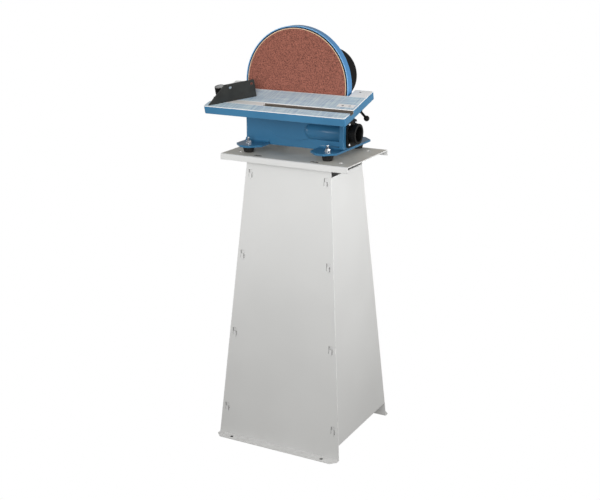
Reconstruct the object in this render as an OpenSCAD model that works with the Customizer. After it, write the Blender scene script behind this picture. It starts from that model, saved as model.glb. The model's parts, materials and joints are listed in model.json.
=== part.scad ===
// Disc sander on a folded sheet-metal stand, in millimetres.
// X runs to the right, Y to the rear and Z up, with the origin on the floor under the stand plate's middle.

/* [Stand] */
// Height of the stand's top face above the floor
stand_h = 845; // [700:5:950]
// Width of the top plate
plate_w = 394; // [380:2:460]
// Depth of the top plate
plate_d = 266; // [260:2:320]
// Thickness of the top plate's sheet
plate_t = 3; // [2:0.5:4]
// Height of the lips folded down at the plate's front and rear
lip_h = 17; // [14:1:28]
// Thickness of the panels' sheet
panel_t = 2.5; // [1.5:0.5:3.5]
// Reach of the stand's foot beyond the plate on each side
foot_over_w = 1; // [-10:1:30]
// Reach of the stand's foot beyond the plate at the front and rear
foot_over_d = 34; // [20:1:60]
// Width of the stand across its panels under the plate
stand_neck_w = 260; // [240:2:300]
// Depth of the stand across its panels under the plate
stand_neck_d = 194; // [180:2:220]
// Width of the floor flanges at the front and rear
floor_flange_w = 28; // [22:1:40]
// Diameter of the holes in the floor flanges
floor_hole_d = 11; // [8:0.5:14]
// Distance between the two holes of one floor flange
floor_hole_span = 298; // [240:2:320]
// Height of the side panels' bottom edges above the floor
side_clear = 44; // [20:2:80]
// Gap between the side panels and the top plate
side_top_gap = 39; // [30:1:50]
// Number of hooks along each panel edge
hook_rows = 4; // [3:1:5]
// Diameter of the bolt holes at the plate's corners
corner_hole_d = 11; // [8:0.5:14]
// Distance between the corner holes from side to side
corner_hole_x = 316; // [310:2:340]
// Distance between the corner holes from front to rear
corner_hole_y = 182; // [170:2:200]

/* [Machine place] */
// Sideways place of the machine on the plate
machine_x = -13; // [-20:1:10]
// Place of the disc's face from the plate's middle, towards the rear
disc_face_y = -28; // [-36:1:-20]
// Gap between the disc's edge and the base's floor
disc_floor_gap = 14.5; // [12:0.5:20]

/* [Base] */
// Reach of the base's walls beyond the disc on each side
base_over = 2.5; // [1:0.5:8]
// Reach of the base's front wall in front of the disc's face
base_front = 13; // [11:0.5:18]
// Reach of the base's rear face behind the disc's face
base_rear = 46; // [44:0.5:54]
// Thickness of the base's walls
base_wall = 5; // [4:0.5:7]
// Thickness of the base's rear wall
back_wall = 8; // [6:0.5:10]
// Width of each lug that carries a foot
lug_w = 82; // [64:1:90]
// Thickness of the lugs and of the bottom flange
lug_t = 6; // [5:0.5:9]
// Reach of the front lugs in front of the base
front_lug_reach = 75; // [70:1:86]
// Reach of the rear lugs behind the base
rear_lug_reach = 138; // [125:1:145]
// Height of the rubber feet
foot_h = 19; // [15:1:24]
// Diameter of a rubber foot under its lug
foot_top_d = 34; // [28:1:40]
// Diameter of a rubber foot on the plate
foot_bottom_d = 27; // [22:1:34]
// Diameter of the studs and bolts of the feet
foot_stud_d = 8; // [6:1:10]

/* [Disc and guard] */
// Diameter of the abrasive disc
disc_d = 305; // [298:1:306]
// Thickness of the disc's plate
disc_t = 12; // [9:0.5:14]
// Thickness of the abrasive sheet
abrasive_t = 1.2; // [0.8:0.1:2]
// Gap between the disc's edge and the guard
guard_gap = 3.5; // [2.5:0.5:5]
// Thickness of the guard's rim
guard_wall = 2.5; // [2:0.5:3.5]
// Depth of the guard
guard_depth = 25.5; // [22:0.5:28]

/* [Motor] */
// Diameter of the motor over its fins
motor_d = 148; // [140:1:152]
// Diameter of the fan cowl
cowl_d = 157; // [155:1:166]
// Place of the cowl's rear face behind the disc's face
cowl_end = 227; // [222:1:245]
// Length of the finned motor housing
housing_len = 98; // [90:1:102]
// Number of cooling fins round the housing
fin_count = 36; // [24:4:44]
// Diameter of the shaft's nose in the disc's hub
shaft_d = 24; // [20:1:25]

/* [Table] */
// Reach of the table beyond the base on each side
table_over = 61; // [56:1:75]
// Depth of the table in front of its edge beside the disc
table_front = 140; // [130:1:160]
// Length of the ears beside the disc
table_ear = 43; // [34:1:46]
// Depth of the table's rim
table_rim_h = 23; // [20:0.5:28]
// Thickness of the table's top
table_plate_t = 9; // [7:0.5:11]
// Tilt of the table in its stored position, front edge down
table_tilt = 15; // [0:1:45]
// Largest tilt of the table
table_tilt_max = 45; // [45:1:45]
// Height of the disc's axis above the table's edge
table_drop = 20; // [17:1:24]
// Gap between the table's edge and the disc's face
table_gap = 3; // [2.5:0.5:4]
// Width of the mitre slot
slot_w = 19.4; // [16:0.2:22]
// Depth of the mitre slot
slot_depth = 8.5; // [7:0.5:10]
// Distance of the slot's middle from the table's edge
slot_set = 95.5; // [90:0.5:100]
// Radius of the arc slot in the trunnions
arc_r = 56; // [54:1:58]
// Thickness of the trunnions' quadrants
quadrant_t = 6; // [5:0.5:8]

/* [Dust port] */
// Outer diameter of the port's hose collar
port_d = 57; // [50:1:60]
// Bore of the port
port_bore = 42; // [36:1:42]
// Reach of the port from the base's wall
port_reach = 26; // [22:1:36]
// Gap of the port's flange from the base's flange and from the guide screws
port_clear = 4.5; // [3:0.5:8]

/* [Mitre gauge] */
// Length of the gauge's fence
fence_len = 136; // [120:1:136]
// Height of the fence
fence_h = 49; // [40:1:60]
// Thickness of the fence
fence_t = 6; // [4:0.5:8]
// Angle between the fence and the bar in the stored position
fence_angle = 39; // [35:1:90]
// Place of the gauge's pivot from the table's left end
gauge_set = 34.5; // [32:0.5:96]
// Length of the gauge's bar
bar_len = 155; // [130:1:160]
// Diameter of the gauge's knob
knob_d = 28; // [24:1:32]

/* [Hidden] */
$fn = 64;
overrun = 1;
run_gap = 0.3;
bolt_gap = 0.4;
shaft_gap = 0.05;
blue = [0.20, 0.42, 0.62];
grey = [0.86, 0.87, 0.87];
black = [0.06, 0.06, 0.07];
steel = [0.72, 0.73, 0.75];
silver = [0.80, 0.82, 0.85];
charcoal = [0.20, 0.21, 0.20];
grit = [0.60, 0.36, 0.32];
rubber = [0.05, 0.05, 0.05];
copper = [0.72, 0.42, 0.22];

// Stand: the plate, the leaning panels and their hooks
plate_bend_r = 5;
stand_foot_w = plate_w + 2 * foot_over_w;
stand_foot_d = plate_d + 2 * foot_over_d;
panel_top = stand_h - plate_t;
panel_lean = atan((stand_foot_d - stand_neck_d) / 2 / panel_top);
side_lean = atan((stand_foot_w - stand_neck_w) / 2 / panel_top);
panel_gap = 0.4;
flange_chamfer = 16;
top_flange_w = 22;
top_flange_side = 36;
plate_stud_d = 6;
plate_stud_len = 13;
plate_stud_share = 0.62;
plate_nut_w = 10;
plate_nut_t = 5;
return_w = 30;
hook_slot_w = 12;
hook_slot_h = 22;
hook_inset = 16;
hook_w = 8;
hook_h = 12;
hook_drop = 5;
hook_low = 87;
hook_head = 13;
plate_slot_len = 24;
plate_slot_w = 9;
plate_slot_x = 88;
plate_slot_edge = 22;
side_top = panel_top - side_top_gap;
hook_high = side_top - hook_head;

// Machine: measured from the disc's face, its middle and the plate's top
lug_top = foot_h + lug_t;
disc_axis_h = lug_top + disc_d / 2 + disc_floor_gap;
base_w = disc_d + 2 * base_over;
flange_step = 3;
flange_w = base_w + 2 * flange_step;
lug_chamfer = 28;
base_corner_r = 6;
front_drop = 80;
cheek_drop = 48;
front_top = disc_axis_h - front_drop;
cheek_top = disc_axis_h - cheek_drop;
relief_t = 3;
relief_r = disc_d / 2;
duct_h = 42;
duct_rise = 12;
duct_left = 56;
duct_end_t = 7;
duct_lift = 1.5;
pin_pad_r = 8;
guide_low = disc_axis_h - table_drop - arc_r - pin_pad_r;
port_flange_h = guide_low - lug_top - 2 * port_clear;
port_h = (guide_low + lug_top) / 2;
duct_z = port_h + duct_lift;
duct_ball_r = (duct_h * duct_h / 4 + duct_rise * duct_rise) / 2 / duct_rise;
duct_deep = duct_ball_r - duct_rise;
gusset_t = 7;
gusset_set = 34;
gusset_share = 0.7;
lug_fillet = 8;
pad_r = 82;
pad_bore_r = 36;
pad_foot_w = 2 * pad_r;
foot_x = 124;
foot_front_set = 19;
foot_rear_set = 1;
foot_front = foot_front_set - stand_neck_d / 2 - disc_face_y;
foot_rear = (stand_neck_d + plate_d) / 4 - foot_rear_set - disc_face_y;
foot_bore_depth = 8;
foot_ring_h = 3;
foot_washer_d = 18;
foot_washer_t = 1.6;
foot_nut_w = 13;
foot_nut_t = 6.5;
foot_stud_up = 9;
stand_bolt_head_t = 5.3;
disc_r = disc_d / 2;
guard_in_r = disc_r + guard_gap;
guard_r = guard_in_r + guard_wall;
guard_plate_t = 3;
guard_foot_gap = 2;
guard_foot = cheek_top + guard_foot_gap;
guard_screw_d = 6;
guard_screw_r = 64;
guard_screw_head_d = 11;
guard_screw_head_t = 3;

// Dust port on the base's right wall
port_y = 17;
port_pad_t = 5;
port_flange_t = 6;
port_flange_r = 9;
port_neck_d = 48;
port_collar_len = 11;
port_screw_d = 4;
port_screw_head_d = 8;
port_screw_head_t = 3;
port_screw_inset = 9;
port_screw_side = 20;
port_screw_clear = 1.9;
port_screw_r = (port_d + port_screw_head_d) / 2 + port_screw_clear;
port_screw_up = port_flange_h / 2 - port_screw_inset;
port_screw_out = max(port_screw_side, sqrt(max(0, port_screw_r ^ 2 - port_screw_up ^ 2)));
port_flange_w = 2 * (port_screw_out + port_screw_inset);
port_screw_deep = 7;

// Disc, shaft and motor, along the axis behind the disc's face
disc_hub_r = 29;
disc_hub_gap = 4;
disc_hub_end = base_rear - disc_hub_gap;
disc_rim_w = 14;
disc_thin_share = 0.65;
disc_thin = disc_t * disc_thin_share;
disc_pocket_r = 17;
disc_pocket_t = 6;
disc_screw_d = 10;
disc_screw_len = 26;
disc_screw_head_t = 4;
disc_screw_head_r = 8;
disc_washer_t = 2;
key_w = 7;
key_h = 6;
key_len = 20;
shaft_nose = abrasive_t + disc_pocket_t;
shield_step = 1;
shield_r = motor_d / 2 - shield_step;
shield_t = 14;
shield_rear_t = 14;
motor_bolt_d = 8;
motor_bolt_r = 56;
motor_bolt_head_d = 13;
motor_bolt_head_t = 5;
housing_in_r = 60;
housing_wall = 6;
fin_t = 2.2;
bearing_front_r = 26;
bearing_front_t = 10;
bearing_rear_r = 21;
bearing_rear_t = 10;
seat_step = 0.5;
seat_front_r = shaft_d / 2 + seat_step;
seat_rear_r = 10;
rotor_shaft_r = 16;
rotor_r = 37.5;
rotor_gap = 0.5;
stator_t = 68;
winding_in_r = 42;
winding_out_r = 56;
winding_len = 11;
fan_seat_r = 8;
fan_r = 64;
fan_hub_r = 16;
fan_t = 24;
fan_disc_t = 3;
fan_blade_t = 2.5;
fan_blades = 8;
cowl_wall = 2;
cowl_slots = 20;
cowl_slot_w = 5;
cowl_slot_in = 20;
cowl_slot_out = 58;
cover_screw_d = 4;
cover_screw_head_d = 7.5;
cover_screw_head_t = 2.6;
cover_screw_deep = 7;
housing_y = base_rear + shield_t;
shield_rear_y = housing_y + housing_len;
fan_gap = 10;
cowl_set = 1;
fan_y = shield_rear_y + shield_rear_t + fan_gap;
cowl_y = shield_rear_y + cowl_set;
cowl_in_r = cowl_d / 2 - cowl_wall;
stator_y = housing_y + (housing_len - stator_t) / 2;

// Switch and capacitor box on the motor's left side
box_w = 92;
box_len = 74;
box_deep = 46;
box_wall = 3;
box_r = 8;
box_set = 10;
box_sink = 4;
box_y = housing_y + box_set;
box_in = motor_d / 2 - box_sink;
lid_t = 3;
box_post_r = 5;
box_post_inset = 8;
switch_bezel_w = 34;
switch_bezel_h = 62;
switch_bezel_t = 5;
button_w = 22;
button_h = 24;
button_out = 6;
button_in = 7;
button_travel = 3;
button_gap = 0.4;
button_pitch = 27;
gland_d = 16;
gland_hex = 20;
gland_hex_t = 5;
gland_len = 14;
gland_bore = 9;

// Table and trunnions, measured from the table's edge beside the disc
table_w = base_w + 2 * table_over;
edge_lip = 3;
edge_bevel = 50;
table_ear_clear = 4;
ear_in = guard_r + table_ear_clear;
table_corner_r = 6;
rim_w = 8;
slot_rib_w = 38;
slot_rib_h = 17;
rib_t = 6;
rib_h = 16;
rib_x = 90;
trunnion_gap = 5.5;
trunnion_w = 42.5;
flange_in = base_w / 2 + trunnion_gap;
flange_out = flange_in + trunnion_w;
flange_t = 8;
trunnion_front = -82;
trunnion_rear = table_ear - rim_w - overrun;
quadrant_angle = 55;
quadrant_edge = 7;
arc_pin_d = 8;
arc_half_w = arc_pin_d / 2 + run_gap;
arc_spare = 6;
guide_angle = 4;
clamp_angle = 42;
quadrant_r = arc_r + arc_half_w + quadrant_edge;
trunnion_screw_d = 6;
trunnion_screw_head_d = 12;
trunnion_screw_front = -62;
trunnion_screw_rear = 29;
trunnion_screw_set = 23.5;
trunnion_screw_x = flange_in + trunnion_screw_set;
trunnion_screw_step = 10;
guide_head_w = 13;
guide_head_t = 5;
clamp_washer_d = 20;
clamp_washer_t = 2;
clamp_face = flange_in + quadrant_t + run_gap;
lever_face = clamp_face + clamp_washer_t + run_gap;
lever_hub_r = 9;
lever_hub_len = 14;
lever_rod_d = 7;
lever_len = 48;
lever_splay = 6;
lever_down = 37;
ball_d = 16;
ball_sink = 6;
pointer_w = 8;
pointer_t = 1.5;
pointer_foot_h = 12;
pointer_angle = 20;
pointer_tip = 5;

// Mitre gauge, measured from its pivot on the table
gauge_x = gauge_set - table_w / 2;
bar_gap = 0.2;
bar_t = slot_depth - 2 * bar_gap;
bar_rear = 23;
stud_d = 8;
head_t = 6;
head_r = 22;
head_wall_t = 5;
fence_set = 21;
fence_tip = 41;
fence_slant = 52;
fence_lift = 0.5;
fence_hole_d = 8;
fence_hole_h = 39;
fence_hole_far = 8.5;
fence_screw_d = 5;
fence_screw_h = 12.5;
fence_tap_share = 0.7;
fence_screw_head_d = 8.5;
fence_screw_head_t = 3;
knob_h = 21;
knob_neck_r = 8;
knob_neck_h = 14;
knob_dish_r = 9;
knob_dish_t = 3;
knob_flutes = 16;
knob_flute_r = 1.6;
knob_set = 0.3;
knob_clear = 1.5;
head_wall_h = head_t + knob_set + knob_neck_h - knob_clear;

// Places: the machine's own frame, the tilted table and the mitre gauge's head
module at_machine() {
    translate([machine_x, disc_face_y, stand_h])
        children();
}

module at_axis() {
    at_machine()
        translate([0, 0, disc_axis_h])
            rotate([-90, 0, 0])
                children();
}

module at_table() {
    at_machine()
        translate([0, -table_gap, disc_axis_h - table_drop])
            rotate([table_tilt, 0, 0])
                children();
}

module at_gauge() {
    at_table()
        translate([gauge_x, -slot_set, 0])
            children();
}

module at_fence() {
    at_gauge()
        rotate([0, 0, fence_angle])
            children();
}

module at_feet() {
    for (x = [-foot_x, foot_x], y = [foot_front, foot_rear])
        at_machine()
            translate([x, y, 0])
                children();
}

// A point on the arc of the trunnions, at an angle behind straight down
function arc_y(r, angle) = -table_gap + r * sin(angle);
function arc_z(r, angle) = disc_axis_h - table_drop - r * cos(angle);

module at_arc(angle) {
    at_machine()
        translate([0, arc_y(arc_r, angle), arc_z(arc_r, angle)])
            children();
}

module both_sides() {
    children();
    mirror([1, 0, 0])
        children();
}

// Shapes that repeat
module rounded_plate(w, d, t, r) {
    linear_extrude(t) {
        square([w - 2 * r, d], center = true);
        square([w, d - 2 * r], center = true);
        for (x = [-1, 1], y = [-1, 1])
            translate([x * (w / 2 - r), y * (d / 2 - r)])
                circle(r);
    }
}

module slot_cut(len, w, t) {
    linear_extrude(t) {
        square([len - w, w], center = true);
        for (x = [-1, 1])
            translate([x * (len - w) / 2, 0])
                circle(d = w);
    }
}

module tube(r_out, r_in, len) {
    difference() {
        cylinder(r = r_out, h = len);
        translate([0, 0, -overrun])
            cylinder(r = r_in, h = len + 2 * overrun);
    }
}

module hex(across, t) {
    cylinder(d = across / cos(30), h = t, $fn = 6);
}

module hex_nut(across, t, bore) {
    difference() {
        hex(across, t);
        translate([0, 0, -overrun])
            cylinder(d = bore, h = t + 2 * overrun);
    }
}

module pan_screw(d, len, head_d, head_h) {
    translate([0, 0, -len])
        cylinder(d = d, h = len + head_h / 2);
    intersection() {
        cylinder(d = head_d, h = head_h);
        translate([0, 0, head_h - head_d])
            sphere(r = head_d);
    }
}

// Stand panels: a leaning face, X across and Y up the slope
function panel_half(z) = stand_foot_w / 2 - (stand_foot_w - stand_neck_w) / 2 * z / panel_top;
function panel_depth(z) = stand_foot_d / 2 - (stand_foot_d - stand_neck_d) / 2 * z / panel_top;
function hook_z(i) = hook_low + (hook_high - hook_low) * i / (hook_rows - 1);

module on_front_panel() {
    translate([0, -stand_foot_d / 2, 0])
        rotate([90 - panel_lean, 0, 0])
            children();
}

module on_side_panel() {
    translate([stand_foot_w / 2, 0, 0])
        rotate([0, -side_lean, 0])
            rotate([90, 0, 90])
                children();
}

module panel_band(z_low, z_high, inset, width, depth) {
    s = 1 / cos(panel_lean);
    translate([0, 0, -depth - panel_t])
        linear_extrude(panel_t)
            polygon([
                [panel_half(z_low) - inset - width, z_low * s],
                [panel_half(z_low) - inset, z_low * s],
                [panel_half(z_high) - inset, z_high * s],
                [panel_half(z_high) - inset - width, z_high * s]
            ]);
}

module at_hooks() {
    for (i = [0 : hook_rows - 1])
        translate([panel_half(hook_z(i)) - hook_inset, hook_z(i) / cos(panel_lean), 0])
            children();
}

module plate_studs_at() {
    for (x = [-1, 1], y = [-1, 1])
        translate([
            x * plate_stud_share * stand_neck_w / 2,
            y * (stand_neck_d / 2 - top_flange_w / 2 - panel_t),
            panel_top
        ])
            children();
}

module floor_panel() {
    s = 1 / cos(panel_lean);
    low = panel_t / 2;
    flange_out_y = -stand_foot_d / 2 - floor_flange_w;
    difference() {
        union() {
            on_front_panel()
                translate([0, 0, -panel_t])
                    linear_extrude(panel_t)
                        polygon([
                            [-panel_half(low), low * s],
                            [panel_half(low), low * s],
                            [panel_half(panel_top), panel_top * s],
                            [-panel_half(panel_top), panel_top * s]
                        ]);
            linear_extrude(panel_t)
                polygon([
                    [-stand_foot_w / 2, -stand_foot_d / 2 + panel_t],
                    [-stand_foot_w / 2, flange_out_y + flange_chamfer],
                    [-stand_foot_w / 2 + flange_chamfer, flange_out_y],
                    [stand_foot_w / 2 - flange_chamfer, flange_out_y],
                    [stand_foot_w / 2, flange_out_y + flange_chamfer],
                    [stand_foot_w / 2, -stand_foot_d / 2 + panel_t]
                ]);
            translate([top_flange_side - stand_neck_w / 2, panel_t / 2 - stand_neck_d / 2, panel_top - panel_t])
                cube([stand_neck_w - 2 * top_flange_side, top_flange_w, panel_t]);
        }
        for (x = [-1, 1])
            translate([x * floor_hole_span / 2, -stand_foot_d / 2 - floor_flange_w / 2, -overrun])
                cylinder(d = floor_hole_d, h = panel_t + 2 * overrun);
        plate_studs_at()
            translate([0, 0, -panel_t - overrun])
                cylinder(d = plate_stud_d + bolt_gap, h = panel_t + 2 * overrun);
        for (side = [0, 1])
            mirror([side, 0, 0])
                on_front_panel()
                    at_hooks()
                        translate([-hook_slot_w / 2, -hook_slot_h / 2, -panel_t - overrun])
                            cube([hook_slot_w, hook_slot_h, panel_t + 2 * overrun]);
    }
}

module side_panel() {
    s = 1 / cos(side_lean);
    inner = panel_t / cos(panel_lean) + panel_gap;
    on_side_panel()
        translate([0, 0, -panel_t])
            linear_extrude(panel_t)
                polygon([
                    [inner - panel_depth(side_clear), side_clear * s],
                    [panel_depth(side_clear) - inner, side_clear * s],
                    [panel_depth(side_top) - inner, side_top * s],
                    [inner - panel_depth(side_top), side_top * s]
                ]);
    for (end = [0, 1])
        mirror([0, end, 0])
            on_front_panel() {
                panel_band(side_clear, side_top, panel_t / 2, return_w, panel_t + panel_gap);
                at_hooks()
                    panel_hook();
            }
}

module panel_hook() {
    foot = hook_h - hook_slot_h / 2;
    translate([-hook_w / 2, -hook_slot_h / 2 + panel_gap, -2 * panel_t])
        cube([hook_w, hook_h, 3 * panel_t + panel_gap]);
    translate([-hook_w / 2, -hook_slot_h / 2 - hook_drop, panel_gap])
        cube([hook_w, hook_drop + foot + hook_slot_h / 2, panel_t]);
}

module plate_profile(inset) {
    r = plate_bend_r - inset;
    half = plate_d / 2 - inset;
    translate([-half + r, -lip_h])
        square([2 * (half - r), lip_h - inset]);
    translate([-half, -lip_h])
        square([2 * half, lip_h - inset - r]);
    for (y = [-1, 1])
        translate([y * (half - r), -inset - r])
            circle(r);
}

module stand_top_plate() {
    color(grey) {
        difference() {
            translate([-plate_w / 2, 0, stand_h])
                rotate([90, 0, 90])
                    linear_extrude(plate_w)
                        difference() {
                            plate_profile(0);
                            translate([0, -overrun])
                                plate_profile(plate_t);
                            plate_profile(plate_t);
                        }
            for (x = [-1, 1], y = [-1, 1]) {
                translate([x * corner_hole_x / 2, y * corner_hole_y / 2, panel_top - overrun])
                    cylinder(d = corner_hole_d, h = plate_t + 2 * overrun);
                translate([x * plate_slot_x, y * (plate_d / 2 - plate_slot_edge), panel_top - overrun])
                    slot_cut(plate_slot_len, plate_slot_w, plate_t + 2 * overrun);
            }
            at_feet()
                translate([0, 0, -plate_t - overrun])
                    cylinder(d = foot_stud_d + bolt_gap, h = plate_t + 2 * overrun);
        }
        plate_studs_at()
            translate([0, 0, -plate_stud_len])
                cylinder(d = plate_stud_d, h = plate_stud_len + plate_t / 2);
    }
}

module stand_front_panel() {
    color(grey)
        floor_panel();
}

module stand_rear_panel() {
    color(grey)
        mirror([0, 1, 0])
            floor_panel();
}

module stand_right_panel() {
    color(grey)
        side_panel();
}

module stand_left_panel() {
    color(grey)
        mirror([1, 0, 0])
            side_panel();
}

module plate_nuts() {
    color(steel)
        plate_studs_at()
            translate([0, 0, -panel_t - plate_nut_t])
                hex_nut(plate_nut_w, plate_nut_t, plate_stud_d + shaft_gap);
}

// Bolts that hold the feet down to the plate from below
module stand_bolts() {
    color(steel)
        at_feet() {
            translate([0, 0, -plate_t - stand_bolt_head_t])
                hex(foot_nut_w, stand_bolt_head_t);
            translate([0, 0, -plate_t - stand_bolt_head_t / 2])
                cylinder(d = foot_stud_d, h = plate_t + stand_bolt_head_t / 2 + foot_bore_depth - overrun);
        }
}

// Base: a cast box round the disc's lower half, on four lugs, with the motor's pad above
module base_outline(w, front, rear, r, z_low, z_high) {
    translate([0, (rear - front) / 2, z_low])
        rounded_plate(w, front + rear, z_high - z_low, r);
}

module lug(x, y_in, y_out) {
    half = lug_w / 2;
    back = y_out > y_in ? -lug_chamfer : lug_chamfer;
    translate([x * (flange_w - lug_w) / 2, 0, foot_h])
        linear_extrude(lug_t)
            polygon([
                [-half, y_in],
                [half, y_in],
                [half, y_out + back],
                [half - lug_chamfer, y_out],
                [lug_chamfer - half, y_out],
                [-half, y_out + back]
            ]);
}

module lug_fillets() {
    for (x = [-1, 1])
        translate([x * (flange_w - lug_w) / 2 - (lug_w - 2 * flange_step) / 2, -base_front, lug_top])
            rotate([90, 0, 90])
                linear_extrude(lug_w - 2 * flange_step)
                    difference() {
                        translate([-lug_fillet, -lug_t / 2])
                            square([lug_fillet + base_wall / 2, lug_fillet + lug_t / 2]);
                        translate([-lug_fillet, lug_fillet])
                            circle(lug_fillet);
                    }
}

module gusset(x) {
    top = cheek_top * gusset_share;
    translate([x * (base_w / 2 - gusset_set) - gusset_t / 2, base_rear, foot_h + lug_t / 2])
        rotate([90, 0, 90])
            linear_extrude(gusset_t)
                polygon([
                    [-back_wall / 2, 0],
                    [rear_lug_reach - lug_w / 2 - foot_top_d, 0],
                    [0, top],
                    [-back_wall / 2, top]
                ]);
}

module duct_bulge() {
    right = base_w / 2 - duct_end_t;
    face = base_front + relief_t + duct_rise;
    intersection() {
        translate([duct_left, duct_deep - base_front - relief_t, duct_z]) {
            sphere(r = duct_ball_r);
            rotate([0, 90, 0])
                cylinder(r = duct_ball_r, h = right - duct_left);
        }
        translate([-base_w / 2, -base_front - relief_t - duct_ball_r, 0])
            cube([right + base_w / 2, duct_ball_r + relief_t + base_wall / 2, front_top]);
    }
    translate([right, -face, port_h - port_flange_h / 2])
        cube([duct_end_t + port_pad_t, face + port_y + port_flange_w / 2, port_flange_h]);
}

module base_relief() {
    intersection() {
        translate([0, -base_front - relief_t, disc_axis_h])
            rotate([-90, 0, 0])
                cylinder(r = relief_r, h = relief_t + base_wall / 2);
        translate([base_corner_r - base_w / 2, -base_front - relief_t - overrun, 0])
            cube([base_w - 2 * base_corner_r, relief_t + base_wall + overrun, front_top - overrun]);
    }
}

module cheek_slope() {
    rise = cheek_top - front_top + 2 * overrun;
    translate([-base_w, -base_front, front_top])
        rotate([90, 0, 90])
            linear_extrude(2 * base_w)
                polygon([[-base_front, 0], [0, 0], [rise, rise], [-base_front, rise]]);
}

module base_housing() {
    inner_front = base_front - base_wall;
    inner_rear = base_rear - back_wall;
    color(blue)
        at_machine()
            difference() {
                union() {
                    difference() {
                        base_outline(base_w, base_front, base_rear, base_corner_r, foot_h, cheek_top);
                        cheek_slope();
                    }
                    base_outline(flange_w, base_front, base_rear, base_corner_r, foot_h, lug_top);
                    for (x = [-1, 1]) {
                        lug(x, 0, -base_front - front_lug_reach);
                        lug(x, 0, base_rear + rear_lug_reach);
                        gusset(x);
                    }
                    lug_fillets();
                    base_relief();
                    duct_bulge();
                    both_sides()
                        base_pin_pads();
                    translate([0, guard_depth, disc_axis_h])
                        rotate([-90, 0, 0])
                            cylinder(r = pad_r, h = base_rear - guard_depth);
                    translate([-pad_foot_w / 2, guard_depth, front_top])
                        cube([pad_foot_w, base_rear - guard_depth, disc_axis_h - front_top]);
                }
                base_outline(base_w - 2 * base_wall, inner_front, min(inner_rear, guard_depth), base_corner_r / 2,
                    lug_top, cheek_top + overrun);
                base_outline(base_w - 2 * base_wall, inner_front, inner_rear, base_corner_r / 2, lug_top, front_top);
                base_side_pockets(inner_front, inner_rear);
                translate([0, -overrun, disc_axis_h])
                    rotate([-90, 0, 0])
                        cylinder(r = pad_bore_r, h = base_rear + 2 * overrun);
                base_holes();
            }
}

module base_side_pockets(inner_front, inner_rear) {
    for (x = [-1, 1])
        translate([
            x * (pad_foot_w / 2 + base_w / 2 - base_wall) / 2 - (base_w / 2 - base_wall - pad_foot_w / 2) / 2,
            -inner_front,
            lug_top
        ])
            cube([base_w / 2 - base_wall - pad_foot_w / 2, inner_front + inner_rear, cheek_top]);
}

module base_pin_pads() {
    for (angle = [guide_angle, clamp_angle])
        translate([base_w / 2 - base_wall / 2, arc_y(arc_r, angle), arc_z(arc_r, angle)])
            rotate([0, 90, 0])
                cylinder(r = pin_pad_r, h = flange_in - run_gap - base_w / 2 + base_wall / 2);
}

module base_holes() {
    for (x = [-foot_x, foot_x], y = [foot_front, foot_rear])
        translate([x, y, foot_h - overrun])
            cylinder(d = foot_stud_d + bolt_gap, h = lug_t + 2 * overrun);
    both_sides()
        for (angle = [guide_angle, clamp_angle])
            translate([base_w / 2 - base_wall - overrun, arc_y(arc_r, angle), arc_z(arc_r, angle)])
                rotate([0, 90, 0])
                    cylinder(d = arc_pin_d + shaft_gap, h = base_wall + flange_in);
    translate([base_w / 2 - base_wall - overrun, port_y, port_h])
        rotate([0, 90, 0])
            cylinder(d = port_bore, h = base_wall + port_pad_t + 2 * overrun);
    port_screws_at()
        translate([0, 0, -port_flange_t - port_screw_deep - overrun])
            cylinder(d = port_screw_d + shaft_gap, h = port_screw_deep + 2 * overrun);
    translate([0, 0, disc_axis_h])
        rotate([-90, 0, 0]) {
            motor_bolt_places()
                translate([0, 0, guard_depth - overrun])
                    cylinder(d = motor_bolt_d + bolt_gap, h = base_rear);
            guard_screw_places()
                translate([0, 0, guard_depth - overrun])
                    cylinder(d = guard_screw_d + shaft_gap, h = 2 * back_wall);
        }
    both_sides()
        translate([base_w / 2 - base_wall - overrun, arc_y(quadrant_r, pointer_angle), pointer_z()])
            rotate([0, 90, 0])
                cylinder(d = cover_screw_d + shaft_gap, h = base_wall + 2 * overrun);
}

module rubber_feet() {
    color(rubber)
        at_feet()
            difference() {
                rotate_extrude()
                    polygon([
                        [0, 0],
                        [foot_bottom_d / 2, 0],
                        [foot_top_d / 2, foot_h - foot_ring_h],
                        [foot_top_d / 2, foot_h],
                        [0, foot_h]
                    ]);
                translate([0, 0, -overrun])
                    cylinder(d = foot_stud_d + 2 * shaft_gap, h = foot_bore_depth + overrun);
                translate([0, 0, foot_h - foot_bore_depth])
                    cylinder(d = foot_stud_d + 2 * shaft_gap, h = foot_bore_depth + overrun);
            }
}

module foot_studs() {
    up = lug_t + foot_washer_t + foot_nut_t + foot_stud_up;
    color(steel)
        at_feet()
            translate([0, 0, foot_h - foot_bore_depth])
                cylinder(d = foot_stud_d, h = foot_bore_depth + up);
}

module foot_washers() {
    color(steel)
        at_feet()
            translate([0, 0, lug_top])
                tube(foot_washer_d / 2, foot_stud_d / 2 + shaft_gap, foot_washer_t);
}

module foot_nuts() {
    color(steel)
        at_feet()
            translate([0, 0, lug_top + foot_washer_t])
                hex_nut(foot_nut_w, foot_nut_t, foot_stud_d + 2 * shaft_gap);
}

// Dust port: a flange on the base's right wall, a neck and a collar for the hose
module at_port() {
    at_machine()
        translate([base_w / 2 + port_pad_t, port_y, port_h])
            rotate([90, 0, 90])
                children();
}

module port_screws_at() {
    for (y = [-1, 1], z = [-1, 1])
        translate([
            base_w / 2 + port_pad_t + port_flange_t,
            port_y + y * port_screw_out,
            port_h + z * port_screw_up
        ])
            rotate([90, 0, 90])
                children();
}

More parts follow.
